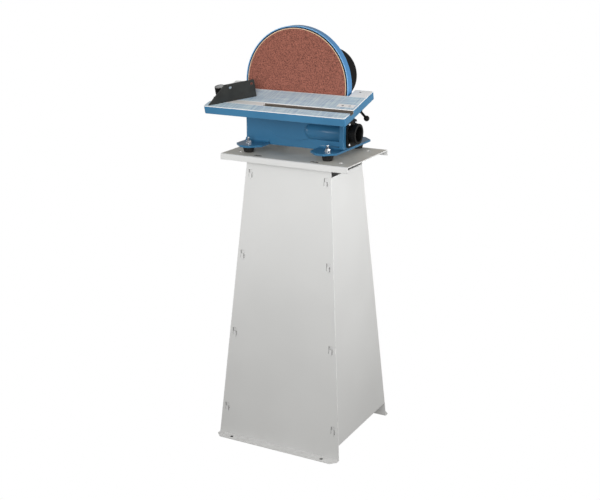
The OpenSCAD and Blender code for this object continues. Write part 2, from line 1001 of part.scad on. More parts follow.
module dust_port() {
    color(black)
        difference() {
            at_port() {
                rounded_plate(port_flange_w, port_flange_h, port_flange_t, port_flange_r);
                cylinder(d = port_neck_d, h = port_reach - overrun);
                translate([0, 0, port_reach - port_collar_len])
                    cylinder(d = port_d, h = port_collar_len);
            }
            at_port()
                translate([0, 0, -overrun])
                    cylinder(d = port_bore, h = port_reach + 2 * overrun);
            at_machine()
                port_screws_at()
                    translate([0, 0, -port_flange_t - overrun])
                        cylinder(d = port_screw_d + bolt_gap, h = port_flange_t + 2 * overrun);
        }
}

module dust_port_screws() {
    color(steel)
        at_machine()
            port_screws_at()
                pan_screw(port_screw_d, port_flange_t + port_screw_deep, port_screw_head_d, port_screw_head_t);
}

// Guard: a rim round the disc's upper half on a rear plate that bolts to the motor's pad
module guard_outline(r) {
    circle(r);
    translate([-r, 0])
        square([2 * r, disc_axis_h - guard_foot]);
}

module disc_guard() {
    color(blue)
        at_axis()
            difference() {
                linear_extrude(guard_depth)
                    intersection() {
                        guard_outline(guard_r);
                        translate([-2 * guard_r, -2 * guard_r])
                            square([4 * guard_r, 2 * guard_r + disc_axis_h - guard_foot]);
                    }
                translate([0, 0, -overrun])
                    linear_extrude(guard_depth - guard_plate_t + overrun) {
                        guard_outline(guard_in_r);
                        translate([-guard_in_r, 0])
                            square([2 * guard_in_r, disc_axis_h]);
                    }
                translate([0, 0, -overrun])
                    cylinder(r = pad_bore_r, h = guard_depth + 2 * overrun);
                guard_screw_places()
                    cylinder(d = guard_screw_d + bolt_gap, h = guard_depth + overrun);
                motor_bolt_places()
                    cylinder(d = motor_bolt_head_d + 2 * bolt_gap, h = guard_depth + overrun);
            }
}

module guard_screws() {
    color(steel)
        at_axis()
            guard_screw_places()
                translate([0, 0, guard_depth - guard_plate_t])
                    rotate([180, 0, 0])
                        pan_screw(guard_screw_d, guard_plate_t + back_wall, guard_screw_head_d,
                            guard_screw_head_t);
}

module guard_screw_places() {
    for (a = [0 : 90 : 270])
        rotate([0, 0, a])
            translate([guard_screw_r, 0, 0])
                children();
}

// Motor: shields at both ends of a finned housing, the stator inside and a cowl over the fan
module motor_front_shield() {
    color(black)
        at_axis()
            difference() {
                translate([0, 0, base_rear])
                    cylinder(r = shield_r, h = shield_t);
                translate([0, 0, base_rear - overrun])
                    cylinder(r = seat_front_r + bolt_gap, h = shield_t + 2 * overrun);
                translate([0, 0, base_rear + shield_t - bearing_front_t])
                    cylinder(r = bearing_front_r + shaft_gap, h = bearing_front_t + overrun);
                motor_bolt_places()
                    translate([0, 0, base_rear - overrun])
                        cylinder(d = motor_bolt_d + shaft_gap, h = shield_t);
            }
}

module motor_bolt_places() {
    for (a = [45 : 90 : 315])
        rotate([0, 0, a])
            translate([motor_bolt_r, 0, 0])
                children();
}

module motor_bolts() {
    color(steel)
        at_axis()
            motor_bolt_places() {
                translate([0, 0, guard_depth - motor_bolt_head_t])
                    cylinder(d = motor_bolt_head_d, h = motor_bolt_head_t);
                translate([0, 0, guard_depth - motor_bolt_head_t / 2])
                    cylinder(d = motor_bolt_d, h = base_rear - guard_depth + motor_bolt_head_t / 2 + shield_t / 2);
            }
}

module motor_housing() {
    shell_r = housing_in_r + housing_wall;
    fin_len = motor_d / 2 - shell_r + housing_wall / 2;
    color(black)
        at_axis()
            translate([0, 0, housing_y])
                difference() {
                    union() {
                        cylinder(r = shell_r, h = housing_len);
                        for (i = [0 : fin_count - 1])
                            rotate([0, 0, i * 360 / fin_count])
                                translate([shell_r - housing_wall / 2, -fin_t / 2, 0])
                                    cube([fin_len, fin_t, housing_len]);
                    }
                    translate([0, 0, -overrun])
                        cylinder(r = housing_in_r, h = housing_len + 2 * overrun);
                    translate([-motor_d, -box_w / 2 - overrun, box_y - housing_y - overrun])
                        cube([motor_d - box_in, box_w + 2 * overrun, box_len + 2 * overrun]);
                }
}

module stator_core() {
    color(steel)
        at_axis()
            translate([0, 0, stator_y])
                tube(housing_in_r - shaft_gap, rotor_r + rotor_gap, stator_t);
}

module stator_windings() {
    color(copper)
        at_axis()
            for (y = [stator_y - winding_len, stator_y + stator_t])
                translate([0, 0, y])
                    tube(winding_out_r, winding_in_r, winding_len);
}

module motor_rear_shield() {
    color(black)
        at_axis()
            translate([0, 0, shield_rear_y])
                difference() {
                    cylinder(r = cowl_in_r - run_gap, h = shield_rear_t);
                    translate([0, 0, -overrun])
                        cylinder(r = bearing_rear_r + shaft_gap, h = bearing_rear_t + overrun);
                    translate([0, 0, -overrun])
                        cylinder(r = seat_rear_r + bolt_gap, h = shield_rear_t + 2 * overrun);
                    cowl_screws_at()
                        translate([0, 0, -cover_screw_deep - cowl_wall])
                            cylinder(d = cover_screw_d + shaft_gap, h = cover_screw_deep + 2 * cowl_wall);
                }
}

module front_bearing() {
    color(steel)
        at_axis()
            translate([0, 0, base_rear + shield_t - bearing_front_t])
                tube(bearing_front_r, seat_front_r + shaft_gap, bearing_front_t);
}

module rear_bearing() {
    color(steel)
        at_axis()
            translate([0, 0, shield_rear_y])
                tube(bearing_rear_r, seat_rear_r + shaft_gap, bearing_rear_t);
}

// Places of the cowl's screws, pointing outwards
module cowl_screws_at() {
    for (a = [30 : 120 : 270])
        rotate([0, 0, a])
            translate([cowl_d / 2, 0, shield_rear_t / 2])
                rotate([0, 90, 0])
                    children();
}

module fan_cowl() {
    cowl_len = cowl_end - cowl_y;
    color(black)
        at_axis()
            difference() {
                translate([0, 0, cowl_y])
                    cylinder(d = cowl_d, h = cowl_len);
                translate([0, 0, cowl_y - overrun])
                    cylinder(r = cowl_in_r, h = cowl_len - cowl_wall + overrun);
                for (i = [0 : cowl_slots - 1])
                    rotate([0, 0, i * 360 / cowl_slots])
                        translate([cowl_slot_in, -cowl_slot_w / 2, cowl_end - 2 * cowl_wall])
                            cube([cowl_slot_out - cowl_slot_in, cowl_slot_w, 3 * cowl_wall]);
                translate([0, 0, shield_rear_y])
                    cowl_screws_at()
                        translate([0, 0, -2 * cowl_wall])
                            cylinder(d = cover_screw_d + bolt_gap, h = 3 * cowl_wall);
            }
}

// Switch box: on the flat of the motor's left side, with Z pointing outwards
module at_box() {
    at_machine()
        translate([-box_in, box_y + box_len / 2, disc_axis_h])
            rotate([90, 0, -90])
                children();
}

module box_posts_at() {
    for (x = [-1, 1], y = [-1, 1])
        translate([x * (box_len / 2 - box_post_inset), y * (box_w / 2 - box_post_inset), 0])
            children();
}

module switch_box() {
    color(black)
        difference() {
            at_box() {
                difference() {
                    rounded_plate(box_len, box_w, box_deep - lid_t, box_r);
                    translate([0, 0, box_wall])
                        rounded_plate(box_len - 2 * box_wall, box_w - 2 * box_wall, box_deep, box_r - box_wall);
                }
                box_posts_at()
                    cylinder(r = box_post_r, h = box_deep - lid_t);
            }
            at_box() {
                box_posts_at()
                    translate([0, 0, box_deep - lid_t - cover_screw_deep])
                        cylinder(d = cover_screw_d + shaft_gap, h = cover_screw_deep + overrun);
                gland_place()
                    translate([0, 0, -box_wall - overrun])
                        cylinder(d = gland_d + bolt_gap, h = box_wall + 2 * overrun);
            }
        }
}

module gland_place() {
    translate([0, -box_w / 2, box_deep / 2])
        rotate([90, 0, 0])
            children();
}

module cable_gland() {
    color(black)
        at_box()
            gland_place()
                difference() {
                    union() {
                        translate([0, 0, -box_wall])
                            cylinder(d = gland_d, h = gland_len + box_wall);
                        hex(gland_hex, gland_hex_t);
                    }
                    translate([0, 0, -2 * box_wall])
                        cylinder(d = gland_bore, h = gland_len + 3 * box_wall);
                }
}

module switch_box_lid() {
    color(black)
        at_box()
            difference() {
                translate([0, 0, box_deep - lid_t])
                    rounded_plate(box_len, box_w, lid_t, box_r);
                translate([-button_w / 2 - button_gap, -button_pitch, box_deep - lid_t - overrun])
                    cube([button_w + 2 * button_gap, 2 * button_pitch, lid_t + 2 * overrun]);
                box_posts_at()
                    translate([0, 0, box_deep - lid_t - overrun])
                        cylinder(d = cover_screw_d + bolt_gap, h = lid_t + 2 * overrun);
            }
}

module switch_bezel() {
    color(black)
        at_box()
            difference() {
                translate([0, 0, box_deep])
                    rounded_plate(switch_bezel_w, switch_bezel_h, switch_bezel_t, box_wall);
                for (y = [-1, 1])
                    translate([0, y * button_pitch / 2, box_deep - overrun])
                        rounded_plate(button_w + 2 * button_gap, button_h + 2 * button_gap,
                            switch_bezel_t + 2 * overrun, box_wall / 2 + button_gap);
            }
}

module button_body(out) {
    translate([0, 0, -button_in])
        rounded_plate(button_w, button_h, button_in + switch_bezel_t + out, box_wall / 2);
}

module start_button() {
    color([0.10, 0.50, 0.22])
        at_box()
            translate([0, button_pitch / 2, box_deep])
                button_body(button_travel);
}

module stop_button() {
    color([0.72, 0.10, 0.10])
        at_box()
            translate([0, -button_pitch / 2, box_deep])
                button_body(button_out);
}

module cover_screws() {
    color(steel) {
        at_axis()
            translate([0, 0, shield_rear_y])
                cowl_screws_at()
                    pan_screw(cover_screw_d, cowl_wall + cover_screw_deep - overrun, cover_screw_head_d,
                        cover_screw_head_t);
        at_box()
            box_posts_at()
                translate([0, 0, box_deep])
                    pan_screw(cover_screw_d, lid_t + cover_screw_deep - overrun, cover_screw_head_d,
                        cover_screw_head_t);
    }
}

// What spins: the shaft with its rotor and fan, and the disc with its abrasive sheet
module motor_shaft() {
    nose_end = base_rear + shield_t - bearing_front_t;
    seat_end = nose_end + bearing_front_t;
    color(steel)
        at_axis()
            difference() {
                rotate_extrude()
                    polygon([
                        [0, shaft_nose],
                        [shaft_d / 2, shaft_nose],
                        [shaft_d / 2, nose_end],
                        [seat_front_r, nose_end],
                        [seat_front_r, seat_end],
                        [rotor_shaft_r, seat_end],
                        [rotor_shaft_r, shield_rear_y],
                        [seat_rear_r, shield_rear_y],
                        [seat_rear_r, shield_rear_y + shield_rear_t],
                        [fan_seat_r, shield_rear_y + shield_rear_t],
                        [fan_seat_r, fan_y + fan_t],
                        [0, fan_y + fan_t]
                    ]);
                translate([0, 0, shaft_nose - overrun])
                    cylinder(d = disc_screw_d + shaft_gap, h = disc_screw_len + overrun);
                translate([-key_w / 2, shaft_d / 2 - key_h / 2, disc_hub_end - key_len])
                    cube([key_w, key_h, key_len + overrun]);
            }
}

module shaft_key() {
    color(steel)
        at_axis()
            translate([-key_w / 2 + shaft_gap, shaft_d / 2 - key_h / 2 + shaft_gap, disc_hub_end - key_len + shaft_gap])
                cube([key_w - 2 * shaft_gap, key_h - 2 * shaft_gap, key_len - 2 * shaft_gap]);
}

module rotor_core() {
    color(steel)
        at_axis()
            translate([0, 0, stator_y - overrun])
                tube(rotor_r, rotor_shaft_r + shaft_gap, stator_t + 2 * overrun);
}

module cooling_fan() {
    color(black)
        at_axis()
            translate([0, 0, fan_y])
                difference() {
                    union() {
                        cylinder(r = fan_hub_r, h = fan_t);
                        cylinder(r = fan_r, h = fan_disc_t);
                        for (i = [0 : fan_blades - 1])
                            rotate([0, 0, i * 360 / fan_blades])
                                translate([fan_hub_r - fan_blade_t, -fan_blade_t / 2, 0])
                                    cube([fan_r - fan_hub_r, fan_blade_t, fan_t]);
                    }
                    translate([0, 0, -overrun])
                        cylinder(r = fan_seat_r + shaft_gap, h = fan_t + 2 * overrun);
                }
}

module sanding_disc() {
    plate_end = abrasive_t + disc_t;
    color(silver)
        at_axis()
            difference() {
                rotate_extrude()
                    polygon([
                        [0, abrasive_t],
                        [disc_r - abrasive_t / 2, abrasive_t],
                        [disc_r - abrasive_t / 2, plate_end],
                        [disc_r - disc_rim_w, plate_end],
                        [disc_r - disc_rim_w - disc_t / 2, abrasive_t + disc_thin],
                        [disc_hub_r + disc_t, abrasive_t + disc_thin],
                        [disc_hub_r, plate_end],
                        [disc_hub_r, disc_hub_end],
                        [0, disc_hub_end]
                    ]);
                translate([0, 0, abrasive_t - overrun])
                    cylinder(r = disc_pocket_r, h = disc_pocket_t + overrun);
                cylinder(d = shaft_d + 2 * shaft_gap, h = disc_hub_end + overrun);
                translate([-key_w / 2, 0, disc_hub_end - key_len])
                    cube([key_w, shaft_d / 2 + key_h / 2, key_len + overrun]);
            }
}

module disc_washer() {
    color(steel)
        at_axis()
            translate([0, 0, shaft_nose - disc_washer_t])
                tube(disc_pocket_r - bolt_gap, disc_screw_d / 2 + shaft_gap, disc_washer_t);
}

module disc_screw() {
    color(steel)
        at_axis() {
            translate([0, 0, shaft_nose - disc_washer_t - disc_screw_head_t + bolt_gap])
                cylinder(r = disc_screw_head_r, h = disc_screw_head_t - bolt_gap);
            translate([0, 0, shaft_nose - disc_washer_t - disc_screw_head_t / 2])
                cylinder(d = disc_screw_d, h = disc_washer_t + disc_screw_head_t / 2 + disc_screw_len - overrun);
        }
}

module abrasive_sheet() {
    color(grit)
        at_axis()
            cylinder(r = disc_r, h = abrasive_t);
}

// Table: a ribbed casting with a mitre slot, a bevelled edge beside the disc and an ear on each side
module table_outline(inset) {
    w = table_w - 2 * inset;
    front = table_front - inset;
    r = max(table_corner_r - inset, table_corner_r / 4);
    translate([0, -front / 2])
        square([w, front - 2 * r], center = true);
    translate([0, -front / 2])
        square([w - 2 * r, front], center = true);
    for (x = [-1, 1]) {
        translate([x * (w / 2 - r), -front + r])
            circle(r);
        translate([x * (ear_in + inset + w / 2) / 2, (table_ear - inset) / 2 - r])
            square([w / 2 - ear_in - inset, table_ear - inset + 2 * r], center = true);
    }
}

module table_pocket() {
    translate([0, 0, -table_rim_h - overrun])
        linear_extrude(table_rim_h - table_plate_t + overrun)
            table_outline(rim_w);
}

module table_edge_bevel() {
    run = 2 * table_rim_h * tan(edge_bevel);
    translate([-ear_in, 0, -edge_lip])
        rotate([90, 0, 90])
            linear_extrude(2 * ear_in)
                polygon([[0, 0], [-run, -2 * table_rim_h], [table_ear, -2 * table_rim_h], [table_ear, 0]]);
}

module table_ribs() {
    depth = table_front - rim_w / 2;
    for (x = [-rib_x, 0, rib_x])
        translate([x - rib_t / 2, -depth, -rib_h])
            cube([rib_t, depth - table_rim_h, rib_h - table_plate_t / 2]);
    translate([-table_w / 2 + rim_w / 2, -slot_set - slot_rib_w / 2, -slot_rib_h])
        cube([table_w - rim_w, slot_rib_w, slot_rib_h - table_plate_t / 2]);
}

module trunnion_screws_at() {
    translate([trunnion_screw_x - trunnion_screw_step, trunnion_screw_front, 0])
        children();
    translate([trunnion_screw_x + trunnion_screw_step, trunnion_screw_front, 0])
        children();
    translate([trunnion_screw_x, trunnion_screw_rear, 0])
        children();
}

module countersunk(d, head_d, len, spare) {
    head_t = (head_d - d) / 2;
    translate([0, 0, -len])
        cylinder(d = d + spare, h = len);
    translate([0, 0, -head_t - spare])
        cylinder(d1 = d + spare, d2 = head_d + spare, h = head_t + spare / 2);
}

module table() {
    color(silver)
        at_table()
            difference() {
                union() {
                    difference() {
                        translate([0, 0, -table_rim_h])
                            linear_extrude(table_rim_h)
                                table_outline(0);
                        table_pocket();
                    }
                    table_ribs();
                }
                table_edge_bevel();
                translate([-table_w, -slot_set - slot_w / 2, -slot_depth])
                    cube([2 * table_w, slot_w, slot_depth + overrun]);
                both_sides()
                    trunnion_screws_at()
                        countersunk(trunnion_screw_d, trunnion_screw_head_d, 2 * table_plate_t, bolt_gap);
                both_sides()
                    translate([flange_in - bolt_gap, trunnion_front - bolt_gap, -table_rim_h - overrun])
                        cube([
                            flange_out - flange_in + 2 * bolt_gap,
                            trunnion_rear - trunnion_front + 2 * bolt_gap,
                            table_rim_h - table_plate_t + overrun
                        ]);
            }
}

// Trunnion: a flange and a quadrant whose arc slot is centred on the table's edge
module quadrant() {
    translate([flange_in, 0, 0])
        rotate([90, 0, 90])
            linear_extrude(quadrant_t)
                intersection() {
                    circle(quadrant_r);
                    polygon([
                        [-table_plate_t * tan(quadrant_angle), -table_plate_t],
                        [-quadrant_r * 2 * sin(quadrant_angle), -quadrant_r * 2 * cos(quadrant_angle)],
                        [0, -quadrant_r * 2],
                        [quadrant_r * 2 * sin(quadrant_angle), -quadrant_r * 2 * cos(quadrant_angle)],
                        [table_plate_t * tan(quadrant_angle), -table_plate_t]
                    ]);
                }
}

module arc_slot() {
    low = guide_angle - table_tilt_max - arc_spare;
    high = clamp_angle + arc_spare;
    translate([flange_in - overrun, 0, 0])
        rotate([90, 0, 90])
            rotate([0, 0, low - 90])
                rotate_extrude(angle = high - low)
                    translate([arc_r - arc_half_w, 0])
                        square([2 * arc_half_w, quadrant_t + 2 * overrun]);
}

module trunnion() {
    at_table()
        difference() {
            union() {
                translate([flange_in, trunnion_front, -table_plate_t - flange_t])
                    cube([flange_out - flange_in, trunnion_rear - trunnion_front, flange_t]);
                quadrant();
            }
            arc_slot();
            trunnion_screws_at()
                translate([0, 0, -table_plate_t - flange_t - overrun])
                    cylinder(d = trunnion_screw_d + shaft_gap, h = flange_t + 2 * overrun);
        }
}

module on_left() {
    translate([2 * machine_x, 0, 0])
        mirror([1, 0, 0])
            children();
}

module trunnion_right() {
    color(blue)
        trunnion();
}

module trunnion_left() {
    color(blue)
        on_left()
            trunnion();
}

module trunnion_screws() {
    color(steel)
        at_table()
            both_sides()
                trunnion_screws_at()
                    translate([0, 0, -bolt_gap])
                        countersunk(trunnion_screw_d, trunnion_screw_head_d, table_plate_t + flange_t, 0);
}

// Guides and clamps: pins in the base's walls that run in the arc slots
module guide_screws() {
    head_x = flange_in + quadrant_t + run_gap;
    color(steel)
        at_arc(guide_angle)
            both_sides()
                rotate([0, 90, 0]) {
                    translate([0, 0, base_w / 2 - base_wall])
                        cylinder(d = arc_pin_d, h = head_x - base_w / 2 + base_wall + guide_head_t / 2);
                    translate([0, 0, head_x])
                        hex(guide_head_w, guide_head_t);
                }
}

module clamp_studs() {
    color(steel)
        at_arc(clamp_angle)
            both_sides()
                rotate([0, 90, 0])
                    translate([0, 0, base_w / 2 - base_wall])
                        cylinder(d = arc_pin_d, h = lever_face + lever_hub_len / 2 - base_w / 2 + base_wall);
}

module clamp_washers() {
    color(steel)
        at_arc(clamp_angle)
            both_sides()
                translate([clamp_face, 0, 0])
                    rotate([0, 90, 0])
                        tube(clamp_washer_d / 2, arc_pin_d / 2 + shaft_gap, clamp_washer_t);
}

module lever_line() {
    translate([lever_face + lever_hub_len / 2, 0, 0])
        rotate([-90 - lever_down, 0, 0])
            rotate([0, lever_splay, 0])
                children();
}

module clamp_lever() {
    at_arc(clamp_angle)
        difference() {
            union() {
                translate([lever_face, 0, 0])
                    rotate([0, 90, 0])
                        cylinder(r = lever_hub_r, h = lever_hub_len);
                lever_line()
                    cylinder(d = lever_rod_d, h = lever_len);
            }
            translate([lever_face - overrun, 0, 0])
                rotate([0, 90, 0])
                    cylinder(d = arc_pin_d + 2 * shaft_gap, h = lever_hub_len / 2 + 2 * overrun);
        }
}

module lever_ball() {
    at_arc(clamp_angle)
        difference() {
            lever_line()
                translate([0, 0, lever_len + ball_d / 2 - ball_sink])
                    sphere(d = ball_d);
            lever_line()
                translate([0, 0, lever_len - ball_d])
                    cylinder(d = lever_rod_d + 2 * shaft_gap, h = ball_d + shaft_gap);
        }
}

module clamp_lever_right() {
    color(black)
        clamp_lever();
}

module clamp_lever_left() {
    color(black)
        on_left()
            clamp_lever();
}

module lever_ball_right() {
    color(black)
        lever_ball();
}

module lever_ball_left() {
    color(black)
        on_left()
            lever_ball();
}

// Pointer of the tilt scale, on the base's left wall
function pointer_z() = arc_z(quadrant_r, pointer_angle) - pointer_foot_h / 2 - run_gap;

module tilt_pointer() {
    face = flange_in + quadrant_t + run_gap;
    y = arc_y(quadrant_r, pointer_angle);
    low = arc_z(quadrant_r, pointer_angle) - pointer_foot_h - run_gap;
    color(steel)
        at_machine()
            mirror([1, 0, 0])
                union() {
                    translate([base_w / 2, y - pointer_w / 2, low - pointer_tip])
                        cube([face - base_w / 2 + pointer_t, pointer_w, pointer_foot_h]);
                    translate([face, y, low - pointer_tip + pointer_foot_h / 2])
                        rotate([90, 0, 90])
                            linear_extrude(pointer_t)
                                polygon([
                                    [-pointer_w / 2, 0],
                                    [pointer_w / 2, 0],
                                    [0, pointer_foot_h / 2 + 2 * pointer_tip]
                                ]);
                }
}

// Mitre gauge: a bar in the slot, and a head that swivels on a stud and carries the fence
module gauge_bar() {
    color(silver)
        at_gauge()
            difference() {
                translate([-bar_rear, bar_gap - slot_w / 2, bar_gap - slot_depth])
                    cube([bar_len, slot_w - 2 * bar_gap, bar_t]);
                translate([0, 0, -slot_depth])
                    cylinder(d = stud_d + 2 * shaft_gap, h = slot_depth + overrun);
            }
}

module gauge_stud() {
    color(steel)
        at_gauge()
            translate([0, 0, bar_gap - slot_depth])
                cylinder(d = stud_d, h = slot_depth + head_t + knob_neck_h + knob_h / 2);
}

module gauge_head() {
    wall_in = -fence_set + fence_t;
    color(charcoal)
        at_fence()
            difference() {
                translate([0, 0, run_gap])
                    union() {
                        cylinder(r = head_r, h = head_t);
                        translate([-head_r, wall_in, 0])
                            cube([2 * head_r, -wall_in, head_t]);
                        translate([-head_r, wall_in, 0])
                            cube([2 * head_r, head_wall_t, head_wall_h]);
                    }
                translate([-2 * head_r, wall_in - 2 * head_r, -overrun])
                    cube([4 * head_r, 2 * head_r, head_wall_h + 2 * overrun]);
                cylinder(d = stud_d + 2 * shaft_gap, h = head_t + overrun);
                fence_screws_at()
                    translate([0, 0, -head_wall_t - overrun])
                        cylinder(d = fence_screw_d + bolt_gap, h = head_wall_t + 2 * overrun);
            }
}

// Places of the fence's screws, pointing backwards
module fence_screws_at() {
    for (x = [-1, 1])
        translate([x * (head_r - fence_screw_head_d), fence_t + head_wall_t - fence_set, fence_screw_h])
            rotate([-90, 0, 0])
                children();
}

module gauge_fence() {
    color(charcoal)
        at_fence()
            difference() {
                translate([-fence_tip, fence_t - fence_set, fence_lift])
                    rotate([90, 0, 0])
                        linear_extrude(fence_t)
                            polygon([[0, 0], [fence_slant, fence_h], [fence_len, fence_h], [fence_len, 0]]);
                for (x = [fence_len / 2, fence_len - fence_hole_far])
                    translate([x - fence_tip, overrun + fence_t - fence_set, fence_hole_h])
                        rotate([90, 0, 0])
                            cylinder(d = fence_hole_d, h = fence_t + 2 * overrun);
                fence_screws_at()
                    translate([0, 0, -head_wall_t - fence_t * fence_tap_share])
                        cylinder(d = fence_screw_d + shaft_gap, h = fence_t);
            }
}

module fence_screws() {
    color(steel)
        at_fence()
            fence_screws_at()
                pan_screw(fence_screw_d, head_wall_t + fence_t / 2, fence_screw_head_d, fence_screw_head_t);
}

module gauge_knob() {
    low = run_gap + head_t + knob_set;
    color(black)
        at_gauge()
            translate([0, 0, low])
                difference() {
                    union() {
                        cylinder(r = knob_neck_r, h = knob_neck_h + overrun);
                        translate([0, 0, knob_neck_h])
                            cylinder(d = knob_d, h = knob_h);
                    }
                    translate([0, 0, -overrun])
                        cylinder(d = stud_d + 2 * shaft_gap, h = knob_neck_h + knob_h / 2 + 2 * overrun);
                    translate([0, 0, knob_neck_h + knob_h - knob_dish_t])
                        cylinder(r1 = knob_dish_r, r2 = knob_dish_r + knob_dish_t, h = knob_dish_t + shaft_gap);
                    for (i = [0 : knob_flutes - 1])
                        rotate([0, 0, i * 360 / knob_flutes])
                            translate([knob_d / 2 + knob_flute_r / 3, 0, knob_neck_h - overrun])
                                cylinder(r = knob_flute_r, h = knob_h + 2 * overrun);
                }
}

stand_top_plate();
stand_front_panel();
stand_rear_panel();
stand_left_panel();
stand_right_panel();
plate_nuts();
stand_bolts();
base_housing();
rubber_feet();
foot_studs();
foot_washers();
foot_nuts();
dust_port();
dust_port_screws();
disc_guard();
guard_screws();
motor_front_shield();
motor_bolts();
motor_housing();
stator_core();
stator_windings();
motor_rear_shield();
front_bearing();
rear_bearing();
fan_cowl();
switch_box();
switch_box_lid();
switch_bezel();
cable_gland();
cover_screws();
start_button();
stop_button();
motor_shaft();
shaft_key();
rotor_core();
cooling_fan();
sanding_disc();
disc_screw();
disc_washer();
abrasive_sheet();
table();
trunnion_left();
trunnion_right();
trunnion_screws();
guide_screws();
clamp_studs();
clamp_washers();
clamp_lever_left();
clamp_lever_right();
lever_ball_left();
lever_ball_right();
tilt_pointer();
gauge_bar();
gauge_stud();
gauge_head();
gauge_fence();
fence_screws();
gauge_knob();
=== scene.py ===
import json
from math import cos, pi, radians, sin

import bmesh
import bpy
from mathutils import Matrix, Vector


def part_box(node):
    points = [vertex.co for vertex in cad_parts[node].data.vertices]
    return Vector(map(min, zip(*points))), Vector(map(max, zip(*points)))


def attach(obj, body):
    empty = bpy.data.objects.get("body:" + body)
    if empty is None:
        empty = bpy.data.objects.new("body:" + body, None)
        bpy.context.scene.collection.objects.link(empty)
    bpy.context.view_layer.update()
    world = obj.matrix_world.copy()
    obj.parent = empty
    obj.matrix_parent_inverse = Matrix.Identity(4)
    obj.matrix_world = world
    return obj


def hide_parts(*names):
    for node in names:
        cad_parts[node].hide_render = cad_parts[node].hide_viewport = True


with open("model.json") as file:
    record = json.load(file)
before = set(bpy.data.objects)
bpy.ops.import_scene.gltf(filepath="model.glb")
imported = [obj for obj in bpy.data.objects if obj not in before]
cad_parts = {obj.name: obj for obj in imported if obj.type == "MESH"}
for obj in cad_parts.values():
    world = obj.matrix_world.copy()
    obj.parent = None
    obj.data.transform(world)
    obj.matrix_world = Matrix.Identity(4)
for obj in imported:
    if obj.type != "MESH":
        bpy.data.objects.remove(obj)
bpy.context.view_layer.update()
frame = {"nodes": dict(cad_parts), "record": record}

# The studio: a lit white floor that fills the picture, a dim even sky, a large soft lamp beside the camera,
# one on the right and a weak one on the left, and black sheets inside the stand and under its flanges that
# are painted shade, keeping their openings dark. The camera stands where the photographer stood.
scene = bpy.context.scene
scene.view_settings.view_transform = "Standard"
camera_lens = bpy.data.cameras.new("camera")
camera_lens.lens = 64.72
camera_lens.sensor_width = 36
camera = bpy.data.objects.new("camera", camera_lens)
camera.location = (1.3926, -2.6479, 1.4740)
camera.rotation_euler = (radians(72.9), 0, radians(28))
scene.collection.objects.link(camera)
scene.camera = camera

sky = bpy.data.worlds.new("sky")
sky.use_nodes = True
sky.node_tree.nodes["Background"].inputs["Color"].default_value = (1, 0.985, 0.955, 1)
sky.node_tree.nodes["Background"].inputs["Strength"].default_value = 0.36
scene.world = sky


def hang_lamp(name, power, place, target, size, spread):
    """A square soft lamp of that size at a place, aimed at a target, its light kept within a spread."""
    lamp = bpy.data.lights.new(name, "AREA")
    lamp.energy = power
    lamp.size = size
    lamp.spread = radians(spread)
    holder = bpy.data.objects.new(name, lamp)
    holder.location = place
    aim = Vector(target) - Vector(place)
    holder.rotation_euler = aim.to_track_quat("-Z", "Y").to_euler()
    scene.collection.objects.link(holder)


hang_lamp("softbox_front", 6.9, (0.7, -2.6, 1.5), (0, 0, 1.12), 1.3, 66)
hang_lamp("softbox_left", 1.5, (-2.2, -1.1, 1.5), (0, 0, 1.15), 1.0, 60)
hang_lamp("softbox_right", 5.8, (2.3, 0.5, 1.25), (0, 0, 1.1), 1.5, 58)


def lay_sheet(name, width, depth, place, glow):
    """A flat sheet of the studio's with its middle at a place, black but for its glow."""
    shape = bmesh.new()
    bmesh.ops.create_grid(shape, x_segments=1, y_segments=1, size=0.5)
    bmesh.ops.scale(shape, vec=(width, depth, 1), verts=shape.verts)
    mesh = bpy.data.meshes.new(name)
    shape.to_mesh(mesh)
    shape.free()
    sheet = bpy.data.objects.new(name, mesh)
    sheet.location = place
    scene.collection.objects.link(sheet)
    paint = bpy.data.materials.new(name)
    paint.use_nodes = True
    shader = paint.node_tree.nodes["Principled BSDF"]
    shader.inputs["Base Color"].default_value = (0, 0, 0, 1)
    shader.inputs["Specular IOR Level"].default_value = 0
    shader.inputs["Emission Color"].default_value = (1, 1, 1, 1)
    shader.inputs["Emission Strength"].default_value = glow
    mesh.materials.append(paint)
    return sheet


floor = lay_sheet("floor", 120, 120, (0, 0, -0.0005), 1.0)
floor.visible_diffuse = False
floor.visible_glossy = False
# Black sheets of painted shade: one inside the stand, two under the flanges' holes.
lay_sheet("shade_sheet_in_stand", 0.27, 0.206, (0, 0, 0.7), 0.0)
for name, y in (("card_under_front", -0.181), ("card_under_rear", 0.181)):
    lay_sheet(name, 0.34, 0.02, (0, y, -0.0003), 0.0)

# The stand: a top plate with folded lips and four leaning panels, of sheet steel with a light grey powder
# coat, faintly pebbled; the plate's top carries painted shade in a darker, warmer grey. The side panels
# hook into slots in the front and rear panels whose walls carry painted shade, and the long edges and floor
# flanges of those panels carry a painted highlight in near white.
body_of = {node: body for body, nodes in frame["record"]["behaviour"]["bodies"].items() for node in nodes}


def new_finish(name, rough, metal=0.0, coat=0.0, shine=0.5):
    """A finish of that roughness, metalness, clear coat and shine."""
    finish = bpy.data.materials.new(name)
    finish.use_nodes = True
    shader = finish.node_tree.nodes["Principled BSDF"]
    shader.inputs["Roughness"].default_value = rough
    shader.inputs["Metallic"].default_value = metal
    shader.inputs["Coat Weight"].default_value = coat
    shader.inputs["Coat Roughness"].default_value = 0.12
    shader.inputs["Specular IOR Level"].default_value = shine
    return finish


